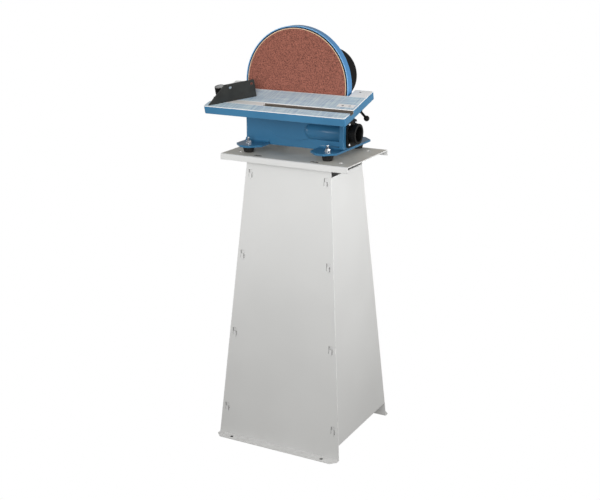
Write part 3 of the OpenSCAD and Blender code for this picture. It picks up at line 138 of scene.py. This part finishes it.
def mottle(finish, blot, detail=3.0, stretch=(1, 1, 1), turn=(0, 0, 0)):
    """Blots of about that width in metres, drawn out along an axis where stretch is small."""
    nodes, links = finish.node_tree.nodes, finish.node_tree.links
    place = nodes.new("ShaderNodeTexCoord")
    fit = nodes.new("ShaderNodeMapping")
    fit.vector_type = "TEXTURE"
    fit.inputs["Rotation"].default_value = turn
    fit.inputs["Scale"].default_value = [1 / s for s in stretch]
    blots = nodes.new("ShaderNodeTexNoise")
    blots.inputs["Scale"].default_value = 1 / blot
    blots.inputs["Detail"].default_value = detail
    links.new(place.outputs["Object"], fit.inputs["Vector"])
    links.new(fit.outputs["Vector"], blots.inputs["Vector"])
    return blots.outputs["Fac"]


def colour_by(finish, mask, dark, light, low=0.3, high=0.7):
    """The finish's colour, from dark to light as the mask goes from low to high."""
    nodes, links = finish.node_tree.nodes, finish.node_tree.links
    shades = nodes.new("ShaderNodeValToRGB")
    shades.color_ramp.elements[0].position = low
    shades.color_ramp.elements[0].color = (*dark, 1)
    shades.color_ramp.elements[1].position = high
    shades.color_ramp.elements[1].color = (*light, 1)
    links.new(mask, shades.inputs["Fac"])
    links.new(shades.outputs["Color"], nodes["Principled BSDF"].inputs["Base Color"])


def gloss_by(finish, mask, smooth, rough):
    """The finish's roughness, from smooth to rough as the mask goes from 0.3 to 0.7."""
    nodes, links = finish.node_tree.nodes, finish.node_tree.links
    spread = nodes.new("ShaderNodeMapRange")
    spread.inputs["From Min"].default_value = 0.3
    spread.inputs["From Max"].default_value = 0.7
    spread.inputs["To Min"].default_value = smooth
    spread.inputs["To Max"].default_value = rough
    links.new(mask, spread.inputs["Value"])
    links.new(spread.outputs["Result"], nodes["Principled BSDF"].inputs["Roughness"])


def emboss(finish, mask, depth, strength=1.0):
    """A relief of that depth in metres."""
    nodes, links = finish.node_tree.nodes, finish.node_tree.links
    relief = nodes.new("ShaderNodeBump")
    relief.inputs["Distance"].default_value = depth
    relief.inputs["Strength"].default_value = strength
    links.new(mask, relief.inputs["Height"])
    links.new(relief.outputs["Normal"], nodes["Principled BSDF"].inputs["Normal"])


def copy_of(node, weld=0.000005):
    """A node's solid as one joined skin, with corners nearer than weld joined and the flat faces merged."""
    shape = bmesh.new()
    shape.from_mesh(frame["nodes"][node].data)
    bmesh.ops.remove_doubles(shape, verts=shape.verts, dist=weld)
    bmesh.ops.dissolve_limit(shape, angle_limit=radians(0.1), verts=shape.verts, edges=shape.edges)
    return shape


def has_room(seam, width):
    """Whether the faces beside an edge are broad enough for it to be rounded that wide."""
    foot = seam.verts[0].co
    along = (seam.verts[1].co - foot).normalized()
    reach = [max((v.co - foot).cross(along).length for v in face.verts) for face in seam.link_faces]
    return min(reach) > 2.2 * width


def set_in(shape, name, finishes, nodes, edge=0.0, segments=2, sharp=32, shortest=0.0):
    """Makes a shape a piece, its sharp edges rounded, that stands for the nodes and rides where they do."""
    mesh = bpy.data.meshes.new(name)
    for face in shape.faces:
        face.smooth = True
    if edge:
        rounded = shape.edges.layers.float.new("bevel_weight_edge")
        for seam in shape.edges:
            broad = has_room(seam, edge) and seam.calc_length() > shortest
            if broad and seam.is_convex and seam.calc_face_angle(0) > radians(sharp):
                seam[rounded] = 1
    shape.to_mesh(mesh)
    shape.free()
    mesh.set_sharp_from_angle(angle=radians(sharp))
    for finish in finishes:
        mesh.materials.append(finish)
    piece = bpy.data.objects.new(name, mesh)
    scene.collection.objects.link(piece)
    if edge:
        rounding = piece.modifiers.new("rounding", "BEVEL")
        rounding.width = edge
        rounding.segments = segments
        rounding.limit_method = "WEIGHT"
        rounding.use_clamp_overlap = False
        rounding.miter_outer = "MITER_ARC"
        shading = piece.modifiers.new("even shading", "WEIGHTED_NORMAL")
        shading.keep_sharp = True
    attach(piece, body_of[nodes[0]])
    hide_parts(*nodes)
    return piece


powder_grey = new_finish("powder_grey", 0.46)
colour_by(powder_grey, mottle(powder_grey, 0.30, 2), (0.74, 0.745, 0.74), (0.80, 0.805, 0.80))
emboss(powder_grey, mottle(powder_grey, 0.0016, 1), 0.00012, 0.5)
# Painted shade: the walls of the panels' hook slots and of the plate's slots, painted near black.
painted_slot_shade = new_finish("painted_slot_shade", 0.7, shine=0.1)
colour_by(painted_slot_shade, mottle(painted_slot_shade, 0.004, 3), (0.012, 0.012, 0.012), (0.05, 0.05, 0.05))
# Painted highlight: near white on the front and rear panels' long edges and on their floor flanges.
painted_edge_highlight = new_finish("painted_edge_highlight", 0.4)
colour_by(painted_edge_highlight, mottle(painted_edge_highlight, 0.02, 2), (0.96, 0.96, 0.955), (1.0, 1.0, 1.0))
panel_weld, panel_edge, panel_shortest = 0.0002, 0.0004, 0.003
half_at_floor, half_lost_per_height = 0.198, 0.0808
panel_paint_and_light = [powder_grey, painted_slot_shade, painted_edge_highlight]
for sheet in ("stand_front_panel", "stand_rear_panel"):
    sheet_shape = copy_of(sheet, panel_weld)
    for face in sheet_shape.faces:
        middle = face.calc_center_median()
        past_edge = abs(middle.x) - (half_at_floor - half_lost_per_height * middle.z)
        in_hook_slot = -0.024 < past_edge < -0.008 and face.calc_area() < 0.00007
        on_long_edge = abs(past_edge) < 0.002 and abs(face.normal.x) > 0.9 and face.calc_area() > 0.0005
        on_flange = middle.z < 0.01 and face.normal.z > 0.99
        # Hook slot walls take the painted shade; long edges and floor flanges take the painted highlight.
        if in_hook_slot:
            face.material_index = 1
        elif on_long_edge or on_flange:
            face.material_index = 2
    set_in(sheet_shape, sheet + "_coated", panel_paint_and_light, [sheet], panel_edge, shortest=panel_shortest)
for sheet in ("stand_left_panel", "stand_right_panel"):
    sheet_shape = copy_of(sheet, panel_weld)
    set_in(sheet_shape, sheet + "_coated", [powder_grey], [sheet], panel_edge, shortest=panel_shortest)

# Painted shade: the plate's top faces in a darker, warmer grey than the powder coat.
painted_top_shade = new_finish("painted_top_shade", 0.42)
colour_by(painted_top_shade, mottle(painted_top_shade, 0.05, 4), (0.70, 0.665, 0.595), (0.80, 0.765, 0.69))
emboss(painted_top_shade, mottle(painted_top_shade, 0.0016, 1), 0.00012, 0.5)
plate_shape = copy_of("stand_top_plate")
plate_slot, plate_slot_half = Vector((0.088, 0.111, 0.8435)), (0.0125, 0.0047, 0.0014)
for face in plate_shape.faces:
    middle = face.calc_center_median()
    off = Vector((abs(middle.x), abs(middle.y), middle.z)) - plate_slot
    # The plate's slot walls take the painted slot shade, and its top faces the painted top shade.
    if all(abs(step) < half for step, half in zip(off, plate_slot_half)):
        face.material_index = 1
    elif face.normal.z > 0.99:
        face.material_index = 2
plate_paint_and_shade = [powder_grey, painted_slot_shade, painted_top_shade]
set_in(plate_shape, "stand_top_plate_coated", plate_paint_and_shade, ["stand_top_plate"], panel_edge)

# The stand's bolts and nuts, and the nuts and washers of the feet and clamps: zinc-plated steel, turned and
# pressed, with lightly clouded plating.
zinc = new_finish("zinc_plate", 0.3, 1.0)
colour_by(zinc, mottle(zinc, 0.006, 3), (0.55, 0.56, 0.58), (0.80, 0.81, 0.82))
gloss_by(zinc, mottle(zinc, 0.003, 3), 0.22, 0.42)
for fixing in ("plate_nuts", "stand_bolts", "foot_nuts"):
    set_in(copy_of(fixing), fixing + "_plated", [zinc], [fixing], 0.0006)
for fixing in ("foot_washers", "clamp_washers"):
    set_in(copy_of(fixing), fixing + "_plated", [zinc], [fixing], 0.0003)

# The base: one iron casting with the dust duct bulging from its front wall, four lugs, two gussets behind
# and a round pad for the motor. It is enamelled glossy blue over a slightly uneven cast skin, its blue
# painted darker than the table's as painted shade under the table.
def enamel(name, deep, pale):
    """Glossy blue enamel between two shades, over a slightly uneven skin; its copies differ by painted
    light and shade.
    """
    finish = new_finish(name, 0.3, coat=0.15, shine=0.4)
    colour_by(finish, mottle(finish, 0.10, 3), deep, pale)
    emboss(finish, mottle(finish, 0.0045, 2), 0.00025, 0.45)
    return finish


base_enamel_shaded = enamel("base_enamel_shaded", (0.033, 0.150, 0.290), (0.044, 0.182, 0.335))
set_in(copy_of("base_housing"), "base_casting", [base_enamel_shaded], ["base_housing"], 0.0009, 3, shortest=0.0012)

# The feet: moulded rubber buffers, dull black with a dusting of grey, each on a threaded stud that passes
# up through a lug and takes a washer and nut.
foot_rubber = new_finish("foot_rubber", 0.62, shine=0.25)
colour_by(foot_rubber, mottle(foot_rubber, 0.010, 4), (0.008, 0.008, 0.009), (0.026, 0.025, 0.024))
emboss(foot_rubber, mottle(foot_rubber, 0.0009, 1), 0.0001, 0.5)
set_in(copy_of("rubber_feet"), "rubber_buffers", [foot_rubber], ["rubber_feet"], 0.0012, 3)


def threaded_rod(shape, foot, radius, length, pitch):
    """Adds a rod that stands on a point, with a rolled thread and chamfered ends."""
    outline = [(0, 0), (radius * 0.8, 0), (radius * 0.98, pitch * 0.5)]
    for turn in range(1, int(length / pitch) - 1):
        outline += [(radius * 0.87, pitch * turn), (radius * 0.98, pitch * (turn + 0.5))]
    outline += [(radius * 0.8, length), (0, length)]
    row = [shape.verts.new((foot[0] + r, foot[1], foot[2] + z)) for r, z in outline]
    chain = [shape.edges.new(pair) for pair in zip(row, row[1:])]
    bmesh.ops.spin(shape, geom=row + chain, cent=foot, axis=(0, 0, 1), angle=2 * pi, steps=20,
                   use_merge=True)


def face_rank(face, count):
    """A face's place in one fixed order, from its three lowest corners among that count of them."""
    first, second, third = sorted(vert.index for vert in face.verts)[:3]
    return (first * count + second) * count + third


foot_x = (-0.137, 0.111)
foot_y = (-0.078, 0.114)
stud_radius, stud_pitch = 0.004, 0.00125
stud_foot_z, stud_top_z = (corner[2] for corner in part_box("foot_studs"))
rods = bmesh.new()
for x in foot_x:
    for y in foot_y:
        threaded_rod(rods, (x, y, stud_foot_z), stud_radius, stud_top_z - stud_foot_z, stud_pitch)
bmesh.ops.remove_doubles(rods, verts=rods.verts, dist=0.000002)
bmesh.ops.recalc_face_normals(rods, faces=rods.faces)
rods.verts.index_update()
rods.faces.sort(key=lambda face: face_rank(face, len(rods.verts)))
set_in(rods, "threaded_foot_studs", [zinc], ["foot_studs"], sharp=60)

# The dust port: a black moulding with a square flange and a collar for the hose, held to the base's right
# wall by four pan-head screws with cross recesses.
black_moulding = new_finish("black_moulding", 0.4, shine=0.15)
colour_by(black_moulding, mottle(black_moulding, 0.02, 3), (0.004, 0.004, 0.004), (0.009, 0.009, 0.009))
emboss(black_moulding, mottle(black_moulding, 0.0007, 1), 0.00006, 0.5)
set_in(copy_of("dust_port"), "dust_port_moulding", [black_moulding], ["dust_port"], 0.0009, 3)


def ring(shape, radius, height, corners=24):
    """Adds a circle of edges at that height and returns them in one fixed order."""
    loop = bmesh.ops.create_circle(shape, radius=radius, segments=corners,
                                   matrix=Matrix.Translation((0, 0, height)))["verts"]
    return list(dict.fromkeys(edge for vert in loop for edge in vert.link_edges))


def cross(shape, arm, width, height):
    """Adds the outline of a cross recess at that height and returns its edges."""
    corners = []
    for quarter in range(4):
        turn = Matrix.Rotation(quarter * pi / 2, 3, "Z")
        for x, y in ((arm, -width), (arm, width), (width, width)):
            corners.append(shape.verts.new(turn @ Vector((x, y, 0)) + Vector((0, 0, height))))
    return [shape.edges.new(pair) for pair in zip(corners, corners[1:] + corners[:1])]


def screw(outline, recess):
    """A screw turned to an outline of radius and height, from point to head, with a recess sunk in it."""
    blank = bmesh.new()
    rings = [ring(blank, radius, height) for radius, height in outline]
    rings += [make(blank) for make in recess]
    for lower, upper in zip(rings, rings[1:]):
        if abs(lower[0].verts[0].co.z - upper[0].verts[0].co.z) < 0.000001:
            bmesh.ops.triangle_fill(blank, edges=lower + upper, use_beauty=True, normal=(0, 0, 1))
        else:
            bmesh.ops.bridge_loops(blank, edges=lower + upper)
    bmesh.ops.edgeloop_fill(blank, edges=rings[0])
    bmesh.ops.edgeloop_fill(blank, edges=rings[-1])
    bmesh.ops.recalc_face_normals(blank, faces=blank.faces)
    mesh = bpy.data.meshes.new("screw_blank")
    blank.to_mesh(mesh)
    blank.free()
    return mesh


def pan_screw(shank, length, head, height):
    """A pan-head screw with a cross recess, its head standing on the level of its seat."""
    outline = [(shank * 0.7, -length), (shank, shank - length), (shank, 0), (head, 0),
               (head, height * 0.35), (head * 0.86, height * 0.78), (head * 0.62, height * 0.97)]
    return screw(outline, [lambda blank: cross(blank, head * 0.52, head * 0.13, height),
                           lambda blank: cross(blank, head * 0.38, head * 0.10, height * 0.35)])


def drive(shape, mesh, seat, way, spin=0.0):
    """Puts a screw on its seat, with its head out along way, turned by spin about itself."""
    part = mesh.copy()
    turn = Vector(way).to_track_quat("Z", "Y").to_matrix().to_4x4() @ Matrix.Rotation(spin, 4, "Z")
    part.transform(Matrix.Translation(seat) @ turn)
    shape.from_mesh(part)
    bpy.data.meshes.remove(part)


port_head_r, port_head_t = 0.004, 0.003
port_low, port_high = (Vector(corner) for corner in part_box("dust_port_screws"))
port_pan = pan_screw(0.002, port_high.x - port_low.x - port_head_t, port_head_r, port_head_t)
port_fixings = bmesh.new()
for y in (port_low.y + port_head_r, port_high.y - port_head_r):
    for z in (port_low.z + port_head_r, port_high.z - port_head_r):
        drive(port_fixings, port_pan, (port_high.x - port_head_t, y, z), (1, 0, 0), 40 * y + 70 * z)
set_in(port_fixings, "dust_port_pan_screws", [zinc], ["dust_port_screws"])

# The guard: a rolled rim with a straight skirt on each side, welded to a rear plate and enamelled blue,
# painted paler than the base as painted light, with a painted highlight in light blue along its front edge
# and its rounded edges. Four pan-head screws hold it to the pad behind the disc.
guard_enamel_lit = enamel("guard_enamel_lit", (0.053, 0.218, 0.471), (0.070, 0.262, 0.544))
# Painted highlight: light blue on the guard's front edge faces and its rounded edges.
painted_rim_highlight = enamel("painted_rim_highlight", (0.19, 0.43, 0.72), (0.23, 0.49, 0.80))
guard_shape = copy_of("disc_guard")
guard_front = min(vert.co.y for vert in guard_shape.verts)
for face in guard_shape.faces:
    if max(vert.co.y for vert in face.verts) < guard_front + 0.0001:
        face.material_index = 1
guard_piece = set_in(guard_shape, "guard_shell", [guard_enamel_lit, painted_rim_highlight], ["disc_guard"], 0.0009, 3)
# The rounded edges take the painted highlight too.
guard_piece.modifiers["rounding"].material = 1
machine = Vector((-0.013, -0.028, 0.845))
axis_height = 0.192
guard_seat = machine + Vector((0, 0.0225, axis_height))
guard_screw_ring = 0.064
guard_pan = pan_screw(shank=0.003, length=0.011, head=0.0055, height=0.003)
guard_fixings = bmesh.new()
for quarter in range(4):
    out = Vector((cos(quarter * pi / 2), 0, sin(quarter * pi / 2)))
    drive(guard_fixings, guard_pan, guard_seat + guard_screw_ring * out, (0, -1, 0), quarter)
set_in(guard_fixings, "guard_pan_screws", [zinc], ["guard_screws"])

# The motor: aluminium shields and a finned housing in satin black, a pressed steel cowl over the fan, and
# inside them the stator, its windings and the bearings.
motor_black = new_finish("motor_black", 0.42, shine=0.08)
colour_by(motor_black, mottle(motor_black, 0.03, 3), (0.003, 0.003, 0.003), (0.007, 0.007, 0.007))
emboss(motor_black, mottle(motor_black, 0.002, 2), 0.0001, 0.5)
for casting in ("motor_front_shield", "motor_housing", "motor_rear_shield"):
    set_in(copy_of(casting), casting + "_casting", [motor_black], [casting], 0.0006, shortest=0.0015)
set_in(copy_of("fan_cowl"), "fan_cowl_pressing", [motor_black], ["fan_cowl"])
set_in(copy_of("motor_bolts"), "motor_cap_bolts", [zinc], ["motor_bolts"], 0.0005)

bright_steel = new_finish("bright_steel", 0.24, 1.0)
colour_by(bright_steel, mottle(bright_steel, 0.004, 3), (0.58, 0.58, 0.59), (0.72, 0.72, 0.73))
gloss_by(bright_steel, mottle(bright_steel, 0.002, 2), 0.18, 0.34)
laminations = new_finish("laminations", 0.4, 1.0)
sheet_lines = mottle(laminations, 0.0005, 1, (0.01, 1, 0.01))
colour_by(laminations, sheet_lines, (0.20, 0.21, 0.22), (0.42, 0.43, 0.45))
copper_wire = new_finish("copper_wire", 0.32, 1.0)
colour_by(copper_wire, mottle(copper_wire, 0.0009, 2, (1, 0.1, 1)), (0.42, 0.14, 0.05), (0.75, 0.36, 0.18))
for inner, finish in (("stator_core", laminations), ("stator_windings", copper_wire),
                      ("front_bearing", bright_steel), ("rear_bearing", bright_steel)):
    set_in(copy_of(inner), inner + "_inside", [finish], [inner], 0.0005)

# The switch box: a black moulding on the flat of the motor's left side, with a lid, a cable gland below,
# and a bezel round a green and a red push button. The lid's and the cowl's screws are alike.
set_in(copy_of("switch_box"), "switch_box_moulding", [black_moulding], ["switch_box"])
for moulding in ("switch_box_lid", "switch_bezel", "cable_gland"):
    set_in(copy_of(moulding), moulding + "_moulding", [black_moulding], [moulding], 0.0005)
cover_pan = pan_screw(shank=0.002, length=0.008, head=0.00375, height=0.0026)
cover_fixings = bmesh.new()
cowl_middle = machine + Vector((0, 0.165, axis_height))
cowl_radius = 0.0785
for step, angle in enumerate((30, 150, 270)):
    out = Vector((cos(radians(angle)), 0, -sin(radians(angle))))
    drive(cover_fixings, cover_pan, cowl_middle + cowl_radius * out, out, step)
lid_x = -0.116
lid_corners = ((0.078, 0.154), (0.136, 0.154), (0.078, 0.230), (0.136, 0.230))
for step, (y, z) in enumerate(lid_corners):
    drive(cover_fixings, cover_pan, machine + Vector((lid_x, y, z)), (-1, 0, 0), 0.3 + step)
set_in(cover_fixings, "cover_pan_screws", [zinc], ["cover_screws"])
for node, name, dark, light in (
        ("start_button", "start_push_green", (0.010, 0.15, 0.035), (0.016, 0.20, 0.05)),
        ("stop_button", "stop_push_red", (0.34, 0.008, 0.008), (0.44, 0.014, 0.012))):
    push_plastic = new_finish(name, 0.25, coat=0.2)
    colour_by(push_plastic, mottle(push_plastic, 0.012, 2), dark, light)
    set_in(copy_of(node), name + "_button", [push_plastic], [node], 0.0012, 3)

# What spins: the steel shaft with its key, rotor and plastic fan, and the turned aluminium disc on its
# nose, with the screw and washer that hold it.
set_in(copy_of("motor_shaft"), "turned_shaft", [bright_steel], ["motor_shaft"], 0.0004)
set_in(copy_of("shaft_key"), "square_key", [bright_steel], ["shaft_key"], 0.0003)
set_in(copy_of("rotor_core"), "rotor_stack", [laminations], ["rotor_core"], 0.0005)
set_in(copy_of("cooling_fan"), "moulded_fan", [black_moulding], ["cooling_fan"], 0.0006)
for fixing in ("disc_screw", "disc_washer"):
    set_in(copy_of(fixing), fixing + "_plated", [zinc], [fixing], 0.0004)


def from_axis(finish, centre):
    """The distance in metres of a point of the piece from the disc's axis."""
    nodes, links = finish.node_tree.nodes, finish.node_tree.links
    place = nodes.new("ShaderNodeTexCoord")
    flat = nodes.new("ShaderNodeMapping")
    flat.inputs["Location"].default_value = (-centre[0], 0, -centre[2])
    flat.inputs["Scale"].default_value = (1, 0, 1)
    reach = nodes.new("ShaderNodeVectorMath")
    reach.operation = "LENGTH"
    links.new(place.outputs["Object"], flat.inputs["Vector"])
    links.new(flat.outputs["Vector"], reach.inputs[0])
    return reach.outputs["Value"]


axis_point = machine + Vector((0, 0, axis_height))
turned_aluminium = new_finish("turned_aluminium", 0.3, 1.0)
colour_by(turned_aluminium, mottle(turned_aluminium, 0.02, 2), (0.66, 0.67, 0.68), (0.80, 0.81, 0.82))
lathe_lines = turned_aluminium.node_tree.nodes.new("ShaderNodeTexNoise")
lathe_lines.noise_dimensions = "1D"
lines_per_metre = 1600
lathe_lines.inputs["Scale"].default_value = lines_per_metre
turned_aluminium.node_tree.links.new(from_axis(turned_aluminium, axis_point), lathe_lines.inputs["W"])
emboss(turned_aluminium, lathe_lines.outputs["Fac"], 0.00008, 0.6)
set_in(copy_of("sanding_disc"), "turned_disc", [turned_aluminium], ["sanding_disc"], 0.0006)

# The abrasive: a round of coated cloth stuck to the disc, reddish brown and gritty, with the pale cloth
# showing as a thin cream rim where it was cut.
def blend_in(finish, mask, colour):
    """Lays a second colour over the finish's own where the mask is 1."""
    nodes, links = finish.node_tree.nodes, finish.node_tree.links
    blend = nodes.new("ShaderNodeMix")
    blend.data_type = "RGBA"
    blend.inputs["B"].default_value = (*colour, 1)
    under = nodes["Principled BSDF"].inputs["Base Color"]
    links.new(under.links[0].from_socket, blend.inputs["A"])
    links.new(mask, blend.inputs["Factor"])
    links.new(blend.outputs["Result"], under)


grit = new_finish("grit", 0.85)
grains = mottle(grit, 0.0016, 3)
colour_by(grit, grains, (0.045, 0.0105, 0.0068), (0.515, 0.176, 0.120))
grit_radius, cloth_radius = 0.1502, 0.1508
rim_edge = grit.node_tree.nodes.new("ShaderNodeMapRange")
rim_edge.inputs["From Min"].default_value = grit_radius
rim_edge.inputs["From Max"].default_value = cloth_radius
grit.node_tree.links.new(from_axis(grit, axis_point), rim_edge.inputs["Value"])
blend_in(grit, rim_edge.outputs["Result"], (0.78, 0.56, 0.36))
emboss(grit, grains, 0.0005, 0.8)
set_in(copy_of("abrasive_sheet"), "abrasive_round", [grit], ["abrasive_sheet"], 0.0002)

# The table: an iron casting, ribbed below and enamelled blue, its blue painted lighter than the base's as
# painted light, with its top milled and scraped bright and its milled top edges bare and painted near white
# as a painted highlight. The mitre slot runs from end to end, its walls and the screw bores bare metal
# darkened as painted shade, and its edge beside the disc is bevelled underneath.
table_edge = machine + Vector((0, -0.003, 0.172))
tilt = radians(15)
table_up = Vector((0, -sin(tilt), cos(tilt)))
to_table = Matrix.Translation(table_edge) @ Matrix.Rotation(tilt, 4, "X")
from_table = to_table.inverted()
slot_middle, slot_half, slot_floor = -0.0955, 0.0098, -0.0085
pad_x, pad_y, pad_half_x, pad_half_y = 0.184, -0.062, 0.025, 0.009
ear_start = -0.004

milled_top = new_finish("milled_top", 0.45, shine=0.35)
along = mottle(milled_top, 0.0022, 3, (0.03, 1, 1), (tilt, 0, 0))
across = mottle(milled_top, 0.0028, 3, (1, 0.04, 1), (tilt, 0, 0))


def reckon(finish, operation, first, second=0.0, third=0.0):
    """The outcome of a sum in the finish, each term a number or another outcome."""
    sum_node = finish.node_tree.nodes.new("ShaderNodeMath")
    sum_node.operation = operation
    for socket, term in zip(sum_node.inputs, (first, second, third)):
        if isinstance(term, float):
            socket.default_value = term
        else:
            finish.node_tree.links.new(term, socket)
    return sum_node.outputs["Value"]


hatch = reckon(milled_top, "MULTIPLY_ADD", along, 0.5, reckon(milled_top, "MULTIPLY", across, 0.5))
colour_by(milled_top, hatch, (0.34, 0.50, 0.70), (0.82, 0.97, 1.0), 0.34, 0.66)
gloss_by(milled_top, hatch, 0.38, 0.55)
emboss(milled_top, hatch, 0.00006, 0.6)

top_place = milled_top.node_tree.nodes.new("ShaderNodeTexCoord")
top_fit = milled_top.node_tree.nodes.new("ShaderNodeMapping")
top_fit.inputs["Location"].default_value = from_table.translation
top_fit.inputs["Rotation"].default_value = (-tilt, 0, 0)
top_axes = milled_top.node_tree.nodes.new("ShaderNodeSeparateXYZ")
milled_top.node_tree.links.new(top_place.outputs["Object"], top_fit.inputs["Vector"])
milled_top.node_tree.links.new(top_fit.outputs["Vector"], top_axes.inputs["Vector"])
beside = reckon(milled_top, "ABSOLUTE", top_axes.outputs["X"])
pad = reckon(milled_top, "MULTIPLY", reckon(milled_top, "COMPARE", beside, pad_x, pad_half_x),
             reckon(milled_top, "COMPARE", top_axes.outputs["Y"], pad_y, pad_half_y))
ear = reckon(milled_top, "GREATER_THAN", top_axes.outputs["Y"], ear_start)
blend_in(milled_top, reckon(milled_top, "MAXIMUM", pad, ear), (1.0, 1.0, 1.0))

# The milled top edges: bare metal, painted near white as a painted highlight.
bare_edge_highlight = new_finish("bare_edge_highlight", 0.3, 0.1)
colour_by(bare_edge_highlight, mottle(bare_edge_highlight, 0.004, 2), (0.92, 0.93, 0.94), (1.0, 1.0, 1.0))
# The mitre slot and the screw bores: bare brownish metal, darkened as painted shade.
slot_metal_and_shade = new_finish("slot_metal_and_shade", 0.42, 0.4)
colour_by(slot_metal_and_shade, mottle(slot_metal_and_shade, 0.003, 3, (0.05, 1, 1)), (0.13, 0.105, 0.085), (0.27, 0.23, 0.195))

screws_per_side = ((0.174, pad_y), (0.194, pad_y), (pad_x, 0.029))
table_screws = [Vector((side * x, y)) for side in (-1, 1) for x, y in screws_per_side]
bore_radius, bore_depth = 0.0062, 0.007
milled_width, cast_width = 0.0016, 0.0014
shortest_rounded = 0.0006
hair = 0.0001
table_enamel_lit = enamel("table_enamel_lit", (0.042, 0.182, 0.348), (0.055, 0.219, 0.401))
table_shape = copy_of("table")
for face in table_shape.faces:
    middle = from_table @ face.calc_center_median()
    over_slot = abs(middle.y - slot_middle) < slot_half and abs(face.normal.x) < 0.5
    in_slot = over_slot and slot_floor - hair < middle.z < -hair
    over_bore = min((middle.xy - place).length for place in table_screws) < bore_radius
    in_bore = over_bore and -bore_depth < middle.z < -hair
    if middle.z > -hair and face.normal.dot(table_up) > 0.99:
        face.material_index = 1
    # Slot and bore walls take the painted shade over their bare metal.
    elif in_bore or in_slot:
        face.material_index = 3
edge_weights = table_shape.edges.layers.float
edge_weights.new("milled_edge")
edge_weights.new("cast_edge")
milled_weight, cast_weight = edge_weights["milled_edge"], edge_weights["cast_edge"]
for edge in table_shape.edges:
    ends = [(from_table @ vert.co).z for vert in edge.verts]
    turn = edge.calc_face_angle(0) if edge.is_convex and edge.calc_length() > shortest_rounded else 0
    if min(ends) > -hair and turn > radians(32):
        edge[milled_weight] = 1.0
    elif turn > radians(50) and has_room(edge, cast_width):
        edge[cast_weight] = 1.0
table_finishes = [table_enamel_lit, milled_top, bare_edge_highlight, slot_metal_and_shade]
table_piece = set_in(table_shape, "table_casting", table_finishes, ["table"])
# The milled edges' rounding takes the painted highlight.
for name, width, material in (("milled_edge", milled_width, 2), ("cast_edge", cast_width, -1)):
    rounding = table_piece.modifiers.new(name, "BEVEL")
    rounding.width = width
    rounding.segments = 2
    rounding.limit_method = "WEIGHT"
    rounding.edge_weight = name
    rounding.material = material
    rounding.use_clamp_overlap = False
shading = table_piece.modifiers.new("even shading", "WEIGHTED_NORMAL")
shading.keep_sharp = True

# The trunnions: cast quadrants under the table's ends, in the table's blue enamel with its painted light,
# each held by three countersunk screws with hexagon sockets that sit flush in the table's top.
for quadrant in ("trunnion_left", "trunnion_right"):
    set_in(copy_of(quadrant), quadrant + "_casting", [table_enamel_lit], [quadrant], 0.0009)
flush_outline = [(0.0021, -0.0174), (0.003, -0.0165), (0.003, -0.0034), (0.006, -0.0004)]
flush_screw = screw(flush_outline, [lambda blank: ring(blank, 0.0056, -0.0003),
                                    lambda blank: ring(blank, 0.0030, -0.0003, 6),
                                    lambda blank: ring(blank, 0.0028, -0.0028, 6)])
table_fixings = bmesh.new()
for place in table_screws:
    drive(table_fixings, flush_screw, to_table @ place.to_3d(), table_up, abs(place.x) * 9)
set_in(table_fixings, "flush_socket_screws", [zinc], ["trunnion_screws"])

# The clamps: steel studs and guide screws in the base's walls that run in the quadrants' arc slots, and on
# each stud a black lever with a ball on its end. A pressed pointer reads the tilt.
for fixing, rounding in (("guide_screws", 0.0006), ("clamp_studs", 0.0005), ("tilt_pointer", 0.0004)):
    set_in(copy_of(fixing), fixing + "_plated", [zinc], [fixing], rounding)
for side in ("left", "right"):
    lever, ball = "clamp_lever_" + side, "lever_ball_" + side
    set_in(copy_of(lever), "clamp_rod_" + side, [motor_black], [lever], 0.0008)
    set_in(copy_of(ball), "clamp_ball_" + side, [black_moulding], [ball])

# The mitre gauge: a bright drawn bar, a head that swivels on its stud, a charcoal fence screwed to the head
# from behind, and a fluted knob with a dished pale cap.
drawn_bar = new_finish("drawn_bar", 0.4, 0.1)
colour_by(drawn_bar, mottle(drawn_bar, 0.002, 3, (0.04, 1, 1)), (0.86, 0.86, 0.85), (1.0, 1.0, 0.99))
set_in(copy_of("gauge_bar"), "gauge_drawn_bar", [drawn_bar], ["gauge_bar"], 0.0006)
set_in(copy_of("gauge_stud"), "gauge_turned_stud", [bright_steel], ["gauge_stud"], 0.0005)
charcoal = new_finish("charcoal_enamel", 0.36, coat=0.05, shine=0.3)
colour_by(charcoal, mottle(charcoal, 0.03, 3), (0.024, 0.025, 0.024), (0.036, 0.038, 0.036))
emboss(charcoal, mottle(charcoal, 0.003, 2), 0.00015, 0.4)
for casting in ("gauge_head", "gauge_fence"):
    set_in(copy_of(casting), casting + "_casting", [charcoal], [casting], 0.0008, 3)
fence_turn = Matrix.Rotation(radians(39), 4, "Z")
gauge_x = -0.1815
fence_seat_y, fence_seat_z = -0.010, 0.0125
to_fence = to_table @ Matrix.Translation((gauge_x, slot_middle, 0)) @ fence_turn
fence_back = to_fence.to_3x3() @ Vector((0, 1, 0))
fence_pan = pan_screw(shank=0.0025, length=0.008, head=0.00425, height=0.003)
fence_fixings = bmesh.new()
for x in (-0.0135, 0.0135):
    drive(fence_fixings, fence_pan, to_fence @ Vector((x, fence_seat_y, fence_seat_z)), fence_back)
set_in(fence_fixings, "fence_pan_screws", [zinc], ["fence_screws"])
knob_cap = new_finish("knob_cap", 0.4)
colour_by(knob_cap, mottle(knob_cap, 0.006, 2), (0.36, 0.37, 0.37), (0.46, 0.47, 0.47))
knob_shape = copy_of("gauge_knob")
knob_height, cap_radius = 0.0386, 0.011
knob_dish = to_table @ Vector((gauge_x, slot_middle, knob_height))
for face in knob_shape.faces:
    if (face.calc_center_median() - knob_dish).length < cap_radius and face.normal.dot(table_up) > 0.3:
        face.material_index = 1
set_in(knob_shape, "gauge_fluted_knob", [black_moulding, knob_cap], ["gauge_knob"])
